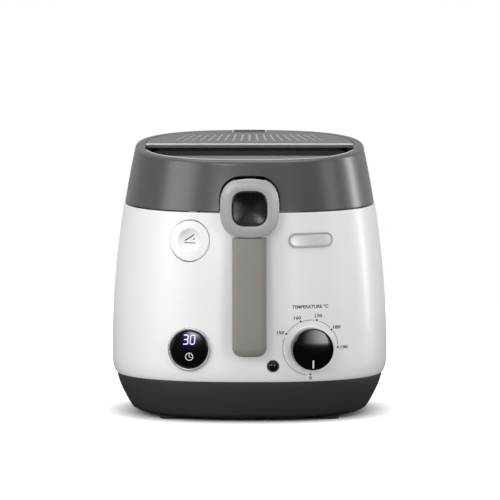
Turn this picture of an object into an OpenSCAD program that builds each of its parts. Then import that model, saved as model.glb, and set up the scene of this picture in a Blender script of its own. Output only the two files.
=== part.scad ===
// Compact deep fryer with a lifting basket, a hinged lid and a filter cover.
// Millimetres. The front faces -Y, +Z is up, and the origin is on the table under the middle of
// the whole fryer with its handle. The modules draw about the middle of the body, and centred()
// shifts what they draw.

/* [Body] */
// Widest part of the body, side to side
body_w = 285; // [275:1:295]
// How much deeper than wide the body is
body_more = 35; // [27:1:45]
// Wall of the outer shell, the base and the lid
wall = 2.6; // [2.2:0.1:3]
// Top edge of the outer shell
body_top = 217; // [217:0.5:220]
// Top edge of the base tray
base_top = 42; // [38:1:44]
// Height at which the shell is widest
belly_z = 60; // [56:1:66]
// How much narrower each side is at the top edge of the shell
taper = 12.5; // [11:0.5:14]
// How squarely the plan is drawn: 2 is an ellipse, more is squarer
corner = 2.5; // [2.4:0.05:2.7]
// Height of the rubber feet below the base
foot_h = 3; // [2:0.5:5]
// Radius of a rubber foot
foot_r = 11; // [8:0.5:13]
// How far a foot is in from the widest side
foot_in_x = 60.5; // [54.5:1:72.5]
// How far a foot is in from the deepest front and back
foot_in_y = 62; // [56:1:80]

/* [Lid] */
// Gap between the shell and the lid
seam = 1.2; // [0.8:0.1:1.6]
// Height of the lid's top plane over the top edge of the shell
lid_h = 59; // [58:0.5:62]
// Rise of the lid's top plane, in mm for each mm towards the back
lid_rise = 0.0427; // [0.03:0.001:0.05]
// How much narrower than the body the filter cover is, on each side
cover_in = 34.5; // [32.5:1:38.5]
// Front edge of the filter cover
cover_front = 7; // [5:1:9]
// Thickness of the filter cover
cover_t = 2.8; // [2.4:0.1:3.2]
// Number of steam slots in the filter cover
slot_count = 19; // [11:2:21]
// Width of a steam slot
slot_w = 2.6; // [2:0.1:3.2]
// Depth of the steam recess under the lid's top plane, at its deepest
recess_deep = 21; // [18:1:22]
// How much narrower than the filter cover the smoked window is, on each side
window_in = 20; // [16:1:48]

/* [Bowl and basket] */
// How much narrower than the body the bowl's rim is, on each side
bowl_in = 28.5; // [28:0.5:30]
// Sheet of the bowl
bowl_t = 1.5; // [1.2:0.1:2]
// Underside of the bowl
bowl_floor = 79; // [76:1:82]
// Width of the bowl's rim flange
bowl_flange = 4; // [3:0.5:4]
// How much narrower than the bowl's rim the basket is, on each side
basket_in = 16; // [15:1:24]
// Height of the basket's wall
basket_h = 73; // [60:1:76]
// Space between the bowl's floor and the basket
basket_gap = 10; // [9:0.5:12]
// How far the handle lifts the basket
lift = 50; // [46:1:52]

/* [Handle] */
// Half width of the ring at the handle's root
ring_w = 30.6; // [29:0.2:31]
// Half width of the slider in the ring
slider_w = 17.4; // [16:0.2:18]
// Half width of the grip
grip_w = 17.8; // [15:0.2:19]
// Lower end of the grip
grip_end = 71; // [66:1:80]
// Half thickness of the grip
grip_t = 9.5; // [8:0.5:10]
// Radius of the handle's shaft and of the arm's shaft
shaft_r = 3; // [2.5:0.1:3.2]
// Teeth on each of the two meshed gears
teeth = 16; // [14:2:18]
// Distance between the gears' centres
gear_span = 20; // [20:0.25:20.5]

/* [Controls] */
// Radius of the temperature knob
knob_r = 21.9; // [19:0.1:23]
// Radius of the timer's lens
timer_r = 19.4; // [17:0.1:20]
// Width of the timer's bezel
bezel_w = 3; // [2:0.25:3.5]
// Radius of the lid button
button_r = 21.4; // [18:0.1:22]
// Radius of the lamp's lens
lamp_r = 5.6; // [4:0.1:6]
// Radius of the hole for the mains cord
cord_r = 3.75; // [3:0.05:4.5]

/* [Fits] */
// Radial clearance of a shaft that turns in a bore
run_gap = 0.05; // [0.02:0.01:0.09]
// Gap round a button, a cover and other loose pieces
loose_gap = 0.5; // [0.4:0.05:0.7]
// Gap between pieces that sit on or beside each other
seat_gap = 0.2; // [0.1:0.05:0.3]

/* [Hidden] */
$fn = 64;
sides = 56;

// Plan: the half depth is the half width and this much more
body_d = body_w + body_more;
depth_more = body_more / 2;
half_body = body_w / 2;
lid_top = body_top + lid_h;
foot_x = half_body - foot_in_x;
foot_y = body_d / 2 - foot_in_y;
cover_w = half_body - cover_in;
window_x = cover_w - window_in;
bowl_w = half_body - bowl_in;
basket_w = bowl_w - basket_in;

// Half width of the outer surface of the shell and the lid at a height
hem = 5;
function half_w(z) = z >= belly_z
  ? half_body - taper * pow((z - belly_z) / (body_top - belly_z), 2)
  : half_body - hem * (1 - sqrt(1 - pow((belly_z - z) / (belly_z - base_top), 2)));

// Half width of the base tray's outer surface at a height
base_taper = 18.3;
function base_w(z) = half_body - hem
  - base_taper * pow(max(base_top - z, 0) / (base_top - foot_h), 1.5);

// Half width of the lid's outer surface at a height
lid_inset = 0.8;
function lid_w(z) = half_w(z) - lid_inset;

// Front surface of the body at a place across and a height
function front_y(x, z, w) = -(w + depth_more) * pow(1 - pow(abs(x) / w, corner), 1 / corner);
function wall_y(x, z) = front_y(x, z, half_w(z));

// One level of a loft: half width, half depth, middle in Y, height, rise towards the back
function level(w, z, rise = 0) = [w, w + depth_more, 0, z, rise];
function signed_pow(v, e) = sign(v) * pow(abs(v), e);
function oval(s, n, e) = [for (i = [0 : n - 1]) let (t = 360 * i / n,
  y = s[2] + s[1] * signed_pow(sin(t), 2 / e))
  [s[0] * signed_pow(cos(t), 2 / e), y, s[3] + s[4] * y]];

// A skin through levels; a tube closes on its first level, any other loft gets two flat ends
module loft(levels, tube = false, n = sides, e = corner) {
  m = len(levels);
  sheets = tube ? m : m - 1;
  faces = [for (j = [0 : sheets - 1], i = [0 : n - 1]) let (k = (j + 1) % m, h = (i + 1) % n)
    each [[j * n + i, k * n + i, k * n + h], [j * n + i, k * n + h, j * n + h]]];
  ends = tube ? [] : [[for (i = [0 : n - 1]) i], [for (i = [n - 1 : -1 : 0]) (m - 1) * n + i]];
  polyhedron([for (s = levels) each oval(s, n, e)], concat(ends, faces), convexity = 6);
}

// Flat plate with the body's plan
module plan(w, n = sides, e = corner, more = depth_more) {
  polygon([for (p = oval([w, w + more, 0, 0, 0], n, e)) [p[0], p[1]]]);
}

// Place on the front wall; local +Z points outwards, turned and tipped by the angles given
module on_front(x, z, turn, tip = 0) {
  translate([x, wall_y(x, z), z]) rotate([0, 0, turn]) rotate([90 - tip, 0, 0]) children();
}

// Rod along X with its middle at a place
module rod_x(r, length, y, z, x = 0) {
  translate([x, y, z]) rotate([0, 90, 0]) cylinder(r = r, h = length, center = true);
}

// Box from its lowest to its highest corner
module block(a, b) {
  translate(a) cube(b - a);
}

// Round wire through points, with a ball at each bend
module wire(points, r) {
  for (i = [0 : len(points) - 2]) {
    a = points[i];
    d = points[i + 1] - a;
    translate(a) rotate([0, acos(d[2] / norm(d)), atan2(d[1], d[0])]) cylinder(r = r, h = norm(d));
    if (i > 0) translate(a) sphere(r = r, $fn = 24);
  }
}

// Thin tube along points, as one skin with a ring of corners square to the run at each point
function unit(v) = v / norm(v);
module tube(points, r, n = 8) {
  m = len(points);
  skew = [0.31, 0.17, 0.93];
  rings = [for (i = [0 : m - 1]) let (
    t = unit(points[min(i + 1, m - 1)] - points[max(i - 1, 0)]),
    u = unit(cross(t, skew)),
    v = cross(t, u))
    each [for (k = [0 : n - 1]) points[i] + r * (cos(360 * k / n) * u + sin(360 * k / n) * v)]];
  faces = [for (j = [0 : m - 2], i = [0 : n - 1]) let (h = (i + 1) % n)
    each [[j * n + i, (j + 1) * n + i, (j + 1) * n + h], [j * n + i, (j + 1) * n + h, j * n + h]]];
  ends = [[for (i = [0 : n - 1]) i], [for (i = [n - 1 : -1 : 0]) (m - 1) * n + i]];
  polyhedron(rings, concat(ends, faces), convexity = 6);
}

// Coil spring as turns set side by side
module spring(r, wire_r, length, turns) {
  for (i = [0 : turns - 1])
    translate([0, 0, wire_r + i * (length - 2 * wire_r) / (turns - 1)])
      rotate_extrude() translate([r, 0]) circle(r = wire_r, $fn = 16);
  for (a = [0, 180]) rotate([0, 0, a])
    translate([r, 0, wire_r]) cylinder(r = wire_r * 0.8, h = length - 2 * wire_r);
}

// Levels of the base, the chassis and the shield
base_floor = foot_h + 3;
plate_z = base_top + 6;
plate_t = 1.2;
shield_w = bowl_w + 6;
shield_top = body_top - 52;
shield_z = plate_z + plate_t;
tower_x = half_body - 72.5;
tower_y = body_d / 2 - 76;
screw_r = 2;
screw_head_r = 3.6;
screw_z = foot_h + 9;

// Deck that carries the bowl, inside the top of the shell
deck_z = body_top - 5;
deck_t = 2.4;
rim_top = deck_z + bowl_t;
deck_hole = bowl_w + 0.6;

// Lid levels
lid_bottom = body_top + seam;
lid_t = 3;
round_r = 6;
function lid_level(w, z) = level(w, z, lid_rise * (z - lid_bottom) / (lid_top - lid_bottom));
function top_z(y) = lid_top + lid_rise * y;

// Steam recess in the front half of the lid's top
recess_front = -(cover_w + depth_more - 1.5);
recess_low = lid_top - recess_deep;
recess_mid = cover_front - 12;
recess_sag = recess_deep + lid_rise * recess_front;
recess_half = recess_mid - recess_front;
recess_r = (recess_half * recess_half + recess_sag * recess_sag) / (2 * recess_sag);

// Filter cover hinge, inside its front lip
cover_pin_y = cover_front + 2.5;
cover_pin_z = top_z(cover_front) - 2.8;
cover_pin_r = 1.5;
lip_bottom = cover_pin_z - 1.5;

// Lid hinge, behind the rear wall
hinge_y = half_w(body_top) + depth_more + 7;
hinge_z = body_top + 2.5;
hinge_r = 5;
hinge_pin_r = 2.5;
hinge_x = half_body - 80.5;
knuckle = 12;

// Handle pivot, arm pivot and the pin that lifts the basket
ring_top = body_top + 37.3;
ring_bottom = ring_top - 2 * ring_w;
ring_mid = (ring_top + ring_bottom) / 2;
ring_front = -(half_w(body_top) + depth_more + 27.5);
ring_back = -(half_w(body_top) + depth_more + 5);
pivot_y = ring_front + 20.5;
pivot_z = ring_top - 12.3;
arm_y = pivot_y + gear_span * cos(45);
arm_z = pivot_z - gear_span * sin(45);
arm_low = -55;
arm_high = 35;
arm_l = lift / (sin(arm_high) - sin(arm_low));
arm_pin_r = 2.5;
pin_y = arm_y + arm_l * cos(arm_low);
pin_z = arm_z + arm_l * sin(arm_low);
arm_half = 4.5;
ear_in = 6.2;
ear_t = 5;
ear_r = 6.5;
cheek_in = 15;

// Levels of the grip: a rounded lower end, then a run that bows forwards on its way down
grip_round = 10;
grip_low = grip_end + grip_round;
grip_long = ring_bottom - 0.6 - grip_low;
grip_rows = concat(
  [for (a = [0 : 18 : 72]) [grip_end + grip_round * (1 - cos(a)), 1 - sin(a)]],
  [for (i = [0 : 6]) [grip_low + grip_long * i / 6, 0]]);
grip_levels = [for (k = grip_rows) let (t = (ring_bottom - k[0]) / (ring_bottom - grip_end))
  [grip_w - grip_round * k[1], grip_t - 2 * (1 - t) - 6 * k[1],
    ring_front + 7.5 - 13.5 * sin(90 * t), k[0], 0]];

// The whole fryer is shifted back until its bounding box is centred over the origin
front_reach = min([for (s = grip_levels) s[2] - s[1]]);
rear_reach = max(body_d / 2, hinge_y + hinge_r);
middle_y = -(front_reach + rear_reach) / 2;
module centred() {
  translate([0, middle_y, 0]) children();
}

// Slot in the hanger: the pin's path seen from the basket, and its spread in height
function slot_path(a) = [arm_y + arm_l * cos(a), arm_z + arm_l * sin(a) - lift * (a - arm_low) / 90];
slot_points = [for (a = [arm_low : 5 : arm_high]) slot_path(a)];
slot_low = min([for (p = slot_points) p[1]]);
slot_high = max([for (p = slot_points) p[1]]);
slot_z = (slot_low + slot_high) / 2;
slot_r = arm_pin_r + (slot_high - slot_low) / 2 + 0.45;
slot_y0 = pin_y;
slot_y1 = arm_y + arm_l;

// Basket
basket_z = bowl_floor + bowl_t + basket_gap;
basket_top = basket_z + basket_h;
basket_shift = 10;
basket_more = 5;
basket_t = 1.2;
hanger_in = 6.5;
hanger_t = 2.5;
basket_front = basket_shift - basket_w - basket_more;

// Controls: place across, height, turn and tip
knob_x = half_body - 79.5;
knob_z = base_top + 35.5;
timer_x = -(half_body - 80.8);
timer_z = base_top + 34.5;
lamp_x = knob_x - 38.7;
lamp_z = base_top + 17.4;
dial_turn = 9;
lamp_turn = 3;
button_x = -(half_body - 80.5);
button_z = body_top - 29;
button_turn = -16;
button_tip = 7;
badge_x = half_body - 79.5;
badge_z = body_top - 28.4;
badge_w = 46;
badge_h = 15.6;
boss_out = 4.2;
timer_out = 4.8;
timer_travel = 1.5;
button_travel = 3;
slider_travel = 3;

// Outline in Y and Z carried along X
module side_plate(points, x0, x1) {
  translate([x0, 0, 0]) rotate([90, 0, 90]) linear_extrude(x1 - x0) polygon(points);
}

// Bar with round ends in a plane across X, from a to b, both [y, z]
module link(a, b, r, x0, x1) {
  turn = atan2(b[1] - a[1], b[0] - a[0]);
  side_plate(concat(
    [for (t = [90 : 10 : 270]) a + r * [cos(turn + t), sin(turn + t)]],
    [for (t = [-90 : 10 : 90]) b + r * [cos(turn + t), sin(turn + t)]]), x0, x1);
}

// Rounded square in X and Z carried along Y
module squircle(w, y0, y1, z, e = 3.2) {
  translate([0, y1, z]) rotate([90, 0, 0]) linear_extrude(y1 - y0)
    polygon([for (p = oval([w, w, 0, 0, 0], 48, e)) [p[0], p[1]]]);
}

// Involute gear with its axis along X and one tooth pointing at angle a in the Y, Z plane
module gear(r, n, a, x0, x1) {
  base = r * cos(20);
  slack = 0.9;
  tip = r + 0.11 * 2 * r * 8 / n;
  root = r - 0.135 * 2 * r * 8 / n;
  half = 90 / n - slack;
  function inv(t) = tan(t) * 180 / PI - t;
  function flank(q) = half + inv(20) - inv(acos(min(1, base / q)));
  radii = [root, base, (base + r) / 2, r, (r + tip) / 2, tip];
  side = [for (q = radii) [q, flank(max(q, base))]];
  tooth = concat([for (s = side) [s[0], -s[1]]], [for (i = [len(side) - 1 : -1 : 0]) side[i]]);
  side_plate([for (k = [0 : n - 1], s = tooth) let (t = a + 360 * k / n + s[1])
    [s[0] * cos(t), s[0] * sin(t)]], x0, x1);
}

// Space inside the lid's outer surface, drawn in by a wall
module lid_form(inset, z0, top) {
  straight = top - round_r;
  steps = 5;
  loft(concat(
    [for (i = [0 : steps]) let (z = z0 + (straight - z0) * i / steps) lid_level(lid_w(z) - inset, z)],
    [for (a = [30 : 30 : 90])
      lid_level(lid_w(straight) - inset - round_r * (1 - cos(a)), straight + round_r * sin(a))]
  ));
}

// Space inside the shell's outer surface, between two heights
module body_form(z0, z1, out = 0, steps = 6) {
  loft([for (i = [0 : steps]) let (z = z0 + (z1 - z0) * i / steps) level(half_w(z) + out, z)]);
}

// Half of the lid's plan in front of the filter cover, or behind a line
module front_half(y) { block([-200, -300, 150], [200, y, 350]); }
module rear_half(y) { block([-200, y, 150], [200, 300, 350]); }
module top_prism(w, z0) { translate([0, 0, z0]) linear_extrude(330 - z0) plan(w); }

// ---- base and housing ----

module at_corners(x, y) {
  for (i = [-1, 1], j = [-1, 1]) translate([i * x, j * y, 0]) children();
}

module base_tray() {
  steps = 6;
  z0 = foot_h + 3.5;
  rows = [for (i = [0 : steps]) z0 + (base_top - z0) * i / steps];
  centred() color("#343537") difference() {
    union() {
      loft(concat(
        [level(base_w(foot_h) - 7, foot_h), level(base_w(foot_h) - 2, foot_h + 1.2)],
        [for (z = rows) level(base_w(z), z)],
        [for (i = [steps : -1 : 1]) level(base_w(rows[i]) - wall, rows[i])],
        [level(base_w(z0) - wall - 3, base_floor)]
      ));
      at_corners(foot_x, foot_y) translate([0, 0, foot_h]) cylinder(r = foot_r + 1, h = 3.5);
      at_corners(tower_x, tower_y) translate([0, 0, foot_h]) cylinder(r = 6, h = plate_z - foot_h);
      translate([0, gland_y - gland_boss, gland_z]) rotate([-90, 0, 0])
        cylinder(r = gland_r + 3.4, h = gland_boss + seat_gap);
    }
    at_corners(foot_x, foot_y) cylinder(r = 4.1, h = 20);
    at_corners(tower_x, tower_y) {
      cylinder(r = screw_r + seat_gap, h = plate_z + 5);
      cylinder(r = screw_head_r + loose_gap, h = screw_z + 3);
    }
    translate([0, 100, gland_z]) rotate([-90, 0, 0]) cylinder(r = gland_r, h = 100);
    translate([0, gland_y + seat_gap, gland_z]) rotate([-90, 0, 0])
      cylinder(r = gland_r + 3.4, h = 20);
  }
}

module rubber_feet() {
  centred() color("#1e1e1f") at_corners(foot_x, foot_y) {
    cylinder(r1 = foot_r - 0.8, r2 = foot_r, h = foot_h);
    cylinder(r = 4, h = base_floor + 1.5);
  }
}

module base_screws() {
  centred() color("silver") at_corners(tower_x, tower_y) translate([0, 0, screw_z]) {
    cylinder(r = screw_head_r, h = 3);
    cylinder(r = screw_r, h = shield_z + 3.6 - screw_z);
  }
}

module chassis_plate() {
  centred() color("#b9bcc0") difference() {
    translate([0, 0, plate_z]) linear_extrude(plate_t) plan(shield_w - 2);
    at_corners(tower_x, tower_y) cylinder(r = screw_r + seat_gap, h = 100);
    translate([0, 0, plate_z - 1]) cylinder(r = 30, h = 5);
  }
}

module outer_shell() {
  lip_w = base_w(base_top - 6) - wall - seat_gap;
  low = base_top + 0.6;
  rise = body_top - belly_z;
  outer = [low, low + 2, low + 6, belly_z, belly_z + rise * 0.204, belly_z + rise * 0.408,
    belly_z + rise * 0.611, belly_z + rise * 0.815, body_top - 1];
  inner = [deck_z - deck_t, belly_z + rise * 0.7, belly_z + rise * 0.45, belly_z + rise * 0.19,
    belly_z, base_top + 8];
  centred() color("#f4f4f4") difference() {
    union() {
      loft(concat(
        [for (z = outer) level(half_w(z), z)],
        [level(half_w(body_top) - 1, body_top), level(half_w(body_top) - wall, body_top),
          level(half_w(body_top) - wall, deck_z), level(deck_hole, deck_z),
          level(deck_hole, deck_z - deck_t)],
        [for (z = inner) level(half_w(z) - wall, z)],
        [level(lip_w - 1.8, base_top + 6), level(lip_w - 1.8, base_top - 6),
          level(lip_w, base_top - 6), level(lip_w, low)]
      ), tube = true);
      on_front(knob_x, knob_z, dial_turn) translate([0, 0, -3])
        cylinder(r = knob_r + 1.4, h = 3 + boss_out);
    }
    on_front(knob_x, knob_z, dial_turn) {
      translate([0, 0, -12]) cylinder(r = bush_r + seat_gap, h = 30);
      translate([0, 0, boss_out - 2.4]) cylinder(r = nut_r + loose_gap, h = 10);
    }
    on_front(timer_x, timer_z, -dial_turn) translate([0, 0, -12])
      cylinder(r = timer_r + bezel_w + seat_gap, h = 30);
    on_front(lamp_x, lamp_z, lamp_turn) translate([0, 0, -12])
      cylinder(r = lamp_r + 0.9, h = 30);
    on_front(button_x, button_z, button_turn, button_tip) translate([0, 0, -12])
      cylinder(r = button_r + loose_gap, h = 30);
    for (x = bracket_screw_x) translate([x, bracket_mid, deck_z - 10]) cylinder(r = 1.6, h = 20);
    block([hook_x - hook_half - 1.5, hook_y - 0.8, deck_z - 5],
      [hook_x + hook_half + 2.5, hook_y + hook_t + button_travel, deck_z + 3]);
    for (x = ear_x, s = [-1, 1]) translate([s * (x + 2.5), 100, hinge_screw_z - 3])
      rotate([-90, 0, 0]) cylinder(r = 1.2, h = 100);
  }
}

module heat_shield() {
  t = 0.8;
  centred() color("#c9ccd0") difference() {
    loft([
      level(shield_w - 6, shield_z), level(shield_w - 1, shield_z + 3), level(shield_w, shield_z + 8),
      level(shield_w, shield_top), level(shield_w - t, shield_top), level(shield_w - t, shield_z + 8),
      level(shield_w - t - 1, shield_z + 3.3), level(shield_w - 6, shield_z + t)
    ]);
    at_corners(tower_x, tower_y) cylinder(r = screw_r + seat_gap, h = 100);
    translate([0, 0, shield_z - 1]) cylinder(r = 30, h = 5);
    tube(capillary, capillary_r + 0.6);
  }
}

module bowl_standoffs() {
  low = shield_z + 0.8;
  centred() color("#c9ccd0") at_corners(bowl_w - 38, bowl_w - 34) translate([0, 0, low])
    cylinder(r = 4.5, h = bowl_floor - low);
}

module oil_bowl() {
  fall = 7;
  curl = [[16, 0], [11.5, 1.6], [8.6, 5], [fall, 11]];
  centred() color("#3a3a3c") difference() {
    loft(concat(
      [for (c = curl) level(bowl_w - c[0], bowl_floor + c[1])],
      [level(bowl_w, deck_z), level(bowl_w + bowl_flange, deck_z),
        level(bowl_w + bowl_flange, rim_top), level(bowl_w - bowl_t, rim_top)],
      [for (i = [3 : -1 : 1]) level(bowl_w - curl[i][0] - bowl_t, bowl_floor + curl[i][1] + 0.6)],
      [level(bowl_w - curl[0][0], bowl_floor + bowl_t)]
    ));
    block([hook_x - hook_half - 1.5, -200, deck_z - 1],
      [hook_x + hook_half + 2.5, hook_y + hook_t + button_travel + 0.5, rim_top + 1]);
  }
}

heater_t = 3;
heater_w = bowl_w - 30;
heater_z = bowl_floor - heater_t;
coil_r = heater_w - 18;
coil_wire = 3.25;

module heater_plate() {
  centred() color("#9a9da1") translate([0, 0, heater_z]) linear_extrude(heater_t) plan(heater_w);
}

module heater_coil() {
  z = heater_z - coil_wire - seat_gap;
  centred() color("#6e6a66") {
    translate([0, 0, z]) rotate([0, 0, 105]) rotate_extrude(angle = 330)
      translate([coil_r, 0]) circle(r = coil_wire);
    for (a = [75, 105]) rotate([0, 0, a]) translate([coil_r, 0, z]) {
      sphere(r = coil_wire);
      translate([0, 0, -14]) cylinder(r = coil_wire, h = 14);
      translate([0, 0, -17]) cylinder(r = 1.5, h = 4);
    }
  }
}

module thermal_cutout() {
  centred() color("#d8d2c0") translate([-30, 26, heater_z - seat_gap]) {
    translate([0, 0, -6]) cylinder(r = 8, h = 6);
    translate([-14, -4, -1.2]) cube([28, 8, 1.2]);
  }
}

// ---- temperature control ----

bush_r = 4.8;
nut_r = 7.5;
knob_gap = 0.6;
knob_h = 13;
capillary_r = 1;
bulb_r = 3;
thermostat_r = 13;
thermostat_y = wall_y(knob_x, knob_z) + 14;
capillary = [[knob_x + 2, thermostat_y, knob_z - thermostat_r], [knob_x + 2, thermostat_y, shield_z + 6],
  [40, -60, shield_z + 6], [34, 0, shield_z + 14], [30, 0, heater_z - bulb_r - seat_gap]];

module thermostat_body() {
  centred() color("#d9d4c6") difference() {
    on_front(knob_x, knob_z, dial_turn) difference() {
      union() {
        translate([0, 0, -19]) cylinder(r = thermostat_r, h = 11.5);
        translate([0, 0, -8]) cylinder(r = 8, h = 3);
        translate([0, 0, -8]) cylinder(r = bush_r, h = 8 + boss_out - 0.4);
      }
      translate([0, 0, -15]) cylinder(r = shaft_r + run_gap, h = 30);
    }
    tube(capillary, capillary_r + seat_gap);
  }
}

module thermostat_bulb() {
  centred() color("#c07a45") {
    tube(capillary, capillary_r);
    rod_x(bulb_r, 62, 0, heater_z - bulb_r - seat_gap);
  }
}

module thermostat_nut() {
  centred() color("silver") on_front(knob_x, knob_z, dial_turn) translate([0, 0, boss_out - 2.4])
    difference() {
      cylinder(r = nut_r, h = 2, $fn = 6);
      translate([0, 0, -1]) cylinder(r = bush_r, h = 5);
    }
}

module temperature_knob() {
  low = boss_out + knob_gap;
  centred() color("#141415") on_front(knob_x, knob_z, dial_turn) difference() {
    rotate_extrude() polygon(concat(
      [[0, low], [knob_r - 0.6, low], [knob_r, low + 0.6]],
      [for (a = [0 : 15 : 90]) [knob_r - 3 + 3 * cos(a), low + knob_h - 3 + 3 * sin(a)]],
      [[0, low + knob_h]]
    ));
    translate([0, 0, low - 1]) cylinder(r = shaft_r, h = 9);
    translate([0, 0, low - 1]) cylinder(r = nut_r + 1, h = 3);
  }
}

module knob_shaft() {
  centred() color("silver") on_front(knob_x, knob_z, dial_turn) translate([0, 0, -14.5])
    cylinder(r = shaft_r, h = 14.5 + boss_out + knob_gap + 8);
}

// ---- lamp and timer ----

module lamp_lens() {
  centred() color("#3a1212") on_front(lamp_x, lamp_z, lamp_turn) {
    translate([0, 0, -5]) cylinder(r = lamp_r, h = 6);
    translate([0, 0, 1 - lamp_r]) intersection() {
      sphere(r = lamp_r * 1.12);
      translate([0, 0, lamp_r]) cylinder(r = lamp_r, h = lamp_r);
    }
  }
}

module lamp_holder() {
  centred() color("#dcdcdc") on_front(lamp_x, lamp_z, lamp_turn) difference() {
    translate([0, 0, -15]) cylinder(r = lamp_r + 2.4, h = 10.8);
    translate([0, 0, -13]) cylinder(r = lamp_r + seat_gap, h = 12);
  }
}

timer_floor = -20;
module timer_bezel() {
  centred() color("#c8cacc") on_front(timer_x, timer_z, -dial_turn) rotate_extrude() polygon([
    [timer_r + loose_gap, -8], [timer_r + bezel_w, -8], [timer_r + bezel_w, timer_out - 1],
    [timer_r + bezel_w - 1, timer_out], [timer_r + loose_gap + 0.5, timer_out],
    [timer_r + loose_gap, timer_out - 0.5]
  ]);
}

module timer_housing() {
  centred() color("#2a2b2d") on_front(timer_x, timer_z, -dial_turn) difference() {
    translate([0, 0, timer_floor]) cylinder(r = timer_r + bezel_w, h = -8 - timer_floor);
    translate([0, 0, timer_floor + 2]) cylinder(r = timer_r + 1, h = 20);
  }
}

module timer_battery() {
  centred() color("silver") on_front(timer_x, timer_z, -dial_turn)
    translate([0, 0, timer_floor + 2]) cylinder(r = 10, h = 3.2);
}

module timer_board() {
  centred() color("#1f6b3a") on_front(timer_x, timer_z, -dial_turn) translate([0, 0, timer_floor + 5.4]) {
    cylinder(r = timer_r + 0.8, h = 1.6);
    translate([-7, 1, 1.6]) cube([14, 9, 2]);
    translate([-5, -12, 1.6]) cube([4, 4, 1]);
  }
}

module timer_button() {
  dome = 90;
  centred() color("#0c0c0e") on_front(timer_x, timer_z, -dial_turn) intersection() {
    translate([0, 0, -3]) cylinder(r = timer_r, h = timer_out + 6);
    translate([0, 0, timer_out - 0.4 - dome]) sphere(r = dome, $fn = 180);
  }
}

module timer_spring() {
  centred() color("silver") on_front(timer_x, timer_z, -dial_turn)
    translate([0, 0, timer_floor + 7.2 + timer_travel])
      spring(14, 0.5, -3 - (timer_floor + 7.2 + timer_travel), 4);
}

// ---- badge, lid button and its hook ----

module pill(w, h, t) {
  for (s = [-1, 1]) translate([s * (w - h) / 2, 0, 0]) cylinder(r = h / 2, h = t);
  translate([-(w - h) / 2, -h / 2, 0]) cube([w - h, h, t]);
}

module badge_plate() {
  centred() color("#dcdcde") intersection() {
    on_front(badge_x, badge_z, -button_turn, button_tip)
      translate([0, 0, -8]) pill(badge_w, badge_h, 20);
    difference() {
      body_form(badge_z - 14, badge_z + 14, 1.3);
      body_form(badge_z - 15, badge_z + 15, 0.05);
    }
  }
}

hook_x = button_x + 3;
hook_half = 4;
hook_t = 2.1;
stem_r = 4;
stem_end = 14;
hook_y = wall_y(button_x, button_z) + stem_end * cos(button_turn) - 1.1;

guide_low = 19.6;
module button_guide() {
  centred() color("#e8e8e8") intersection() {
    body_form(button_z - 32, deck_z - deck_t - 0.4, -wall - 0.4);
    guide_form();
  }
}

module guide_form() {
  on_front(button_x, button_z, button_turn, button_tip) {
    difference() {
      translate([0, 0, -9]) cylinder(r = button_r + 2.6, h = 3.6);
      translate([0, 0, -10]) cylinder(r = button_r + loose_gap, h = 8);
    }
    for (s = [-1, 1]) translate([s * (button_r + 1.6) - 1, -5, -guide_low - 1]) cube([2, 10, guide_low - 6]);
    translate([0, 0, -guide_low - 1.6]) difference() {
      translate([-button_r - 2.6, -5, 0]) cube([2 * button_r + 5.2, 10, 1.6]);
      translate([0, 0, -1]) cylinder(r = stem_r + loose_gap, h = 5);
    }
  }
}

module button_stem(g = 0) {
  on_front(button_x, button_z, button_turn, button_tip)
    translate([0, 0, -stem_end]) cylinder(r = stem_r + g, h = stem_end - 3);
}

module lid_button() {
  dish = 42;
  centred() color("#f6f6f6") {
    difference() {
      intersection() {
        on_front(button_x, button_z, button_turn, button_tip)
          translate([0, 0, -7]) cylinder(r = button_r, h = 12);
        body_form(button_z - 28, button_z + 27, 0, 4);
      }
      on_front(button_x, button_z, button_turn, button_tip)
        translate([0, 0, dish - 4.4]) sphere(r = dish, $fn = 96);
    }
    button_stem();
  }
}

module button_springs() {
  length = guide_low - 7 - button_travel - seat_gap;
  centred() color("silver") on_front(button_x, button_z, button_turn, button_tip) for (s = [-1, 1])
    translate([s * 13.5, 0, -7 - length]) spring(3, 0.5, length, 5);
}

module latch_hook() {
  centred() color("#c9ccd0") difference() {
    block([hook_x - hook_half, hook_y, button_z - 8], [hook_x + hook_half, hook_y + hook_t, body_top]);
    button_stem();
  }
}

// ---- rear: hinge, gland, terminals and wires ----

hinge_screw_z = body_top - 14;
lid_knuckle = [hinge_x / 2 + 1, hinge_x / 2 + 1 + knuckle];
ear_gap = 0.4;

ear_x = [lid_knuckle[0] - ear_gap - 5, lid_knuckle[1] + ear_gap];
function ear_wall(x) = -front_y(x, 0, half_w(hinge_screw_z - 7)) + 0.15;

module hinge_bracket() {
  centred() color("#4a4b4e") difference() {
    for (s = [-1, 1]) sided(s) {
      for (x = ear_x) {
        link([hinge_y, hinge_z], [ear_wall(x) + hinge_r, hinge_screw_z + 1], hinge_r, x, x + 5);
        block([x, ear_wall(x), hinge_screw_z - 7], [x + 5, ear_wall(x) + 7, hinge_screw_z + 1]);
      }
      block([ear_x[0], ear_wall(ear_x[0]), hinge_screw_z - 7],
        [ear_x[1] + 5, ear_wall(ear_x[0]) + 3, hinge_screw_z + 4]);
    }
    rod_x(hinge_pin_r, 150, hinge_y, hinge_z);
    for (x = ear_x, s = [-1, 1]) translate([s * (x + 2.5), 100, hinge_screw_z - 3])
      rotate([-90, 0, 0]) cylinder(r = 1.2, h = 100);
  }
}

// Mirrored when s is negative
module sided(s) {
  if (s < 0) mirror([1, 0, 0]) children();
  else children();
}

module hinge_pins() {
  centred() color("silver") {
    for (s = [-1, 1])
      rod_x(hinge_pin_r, knuckle + 11, hinge_y, hinge_z, s * (lid_knuckle[0] + lid_knuckle[1]) / 2);
    for (x = ear_x, s = [-1, 1]) translate([s * (x + 2.5), ear_wall(x) - 8, hinge_screw_z - 3])
      rotate([-90, 0, 0]) cylinder(r = 1.2, h = 15);
  }
}

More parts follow.
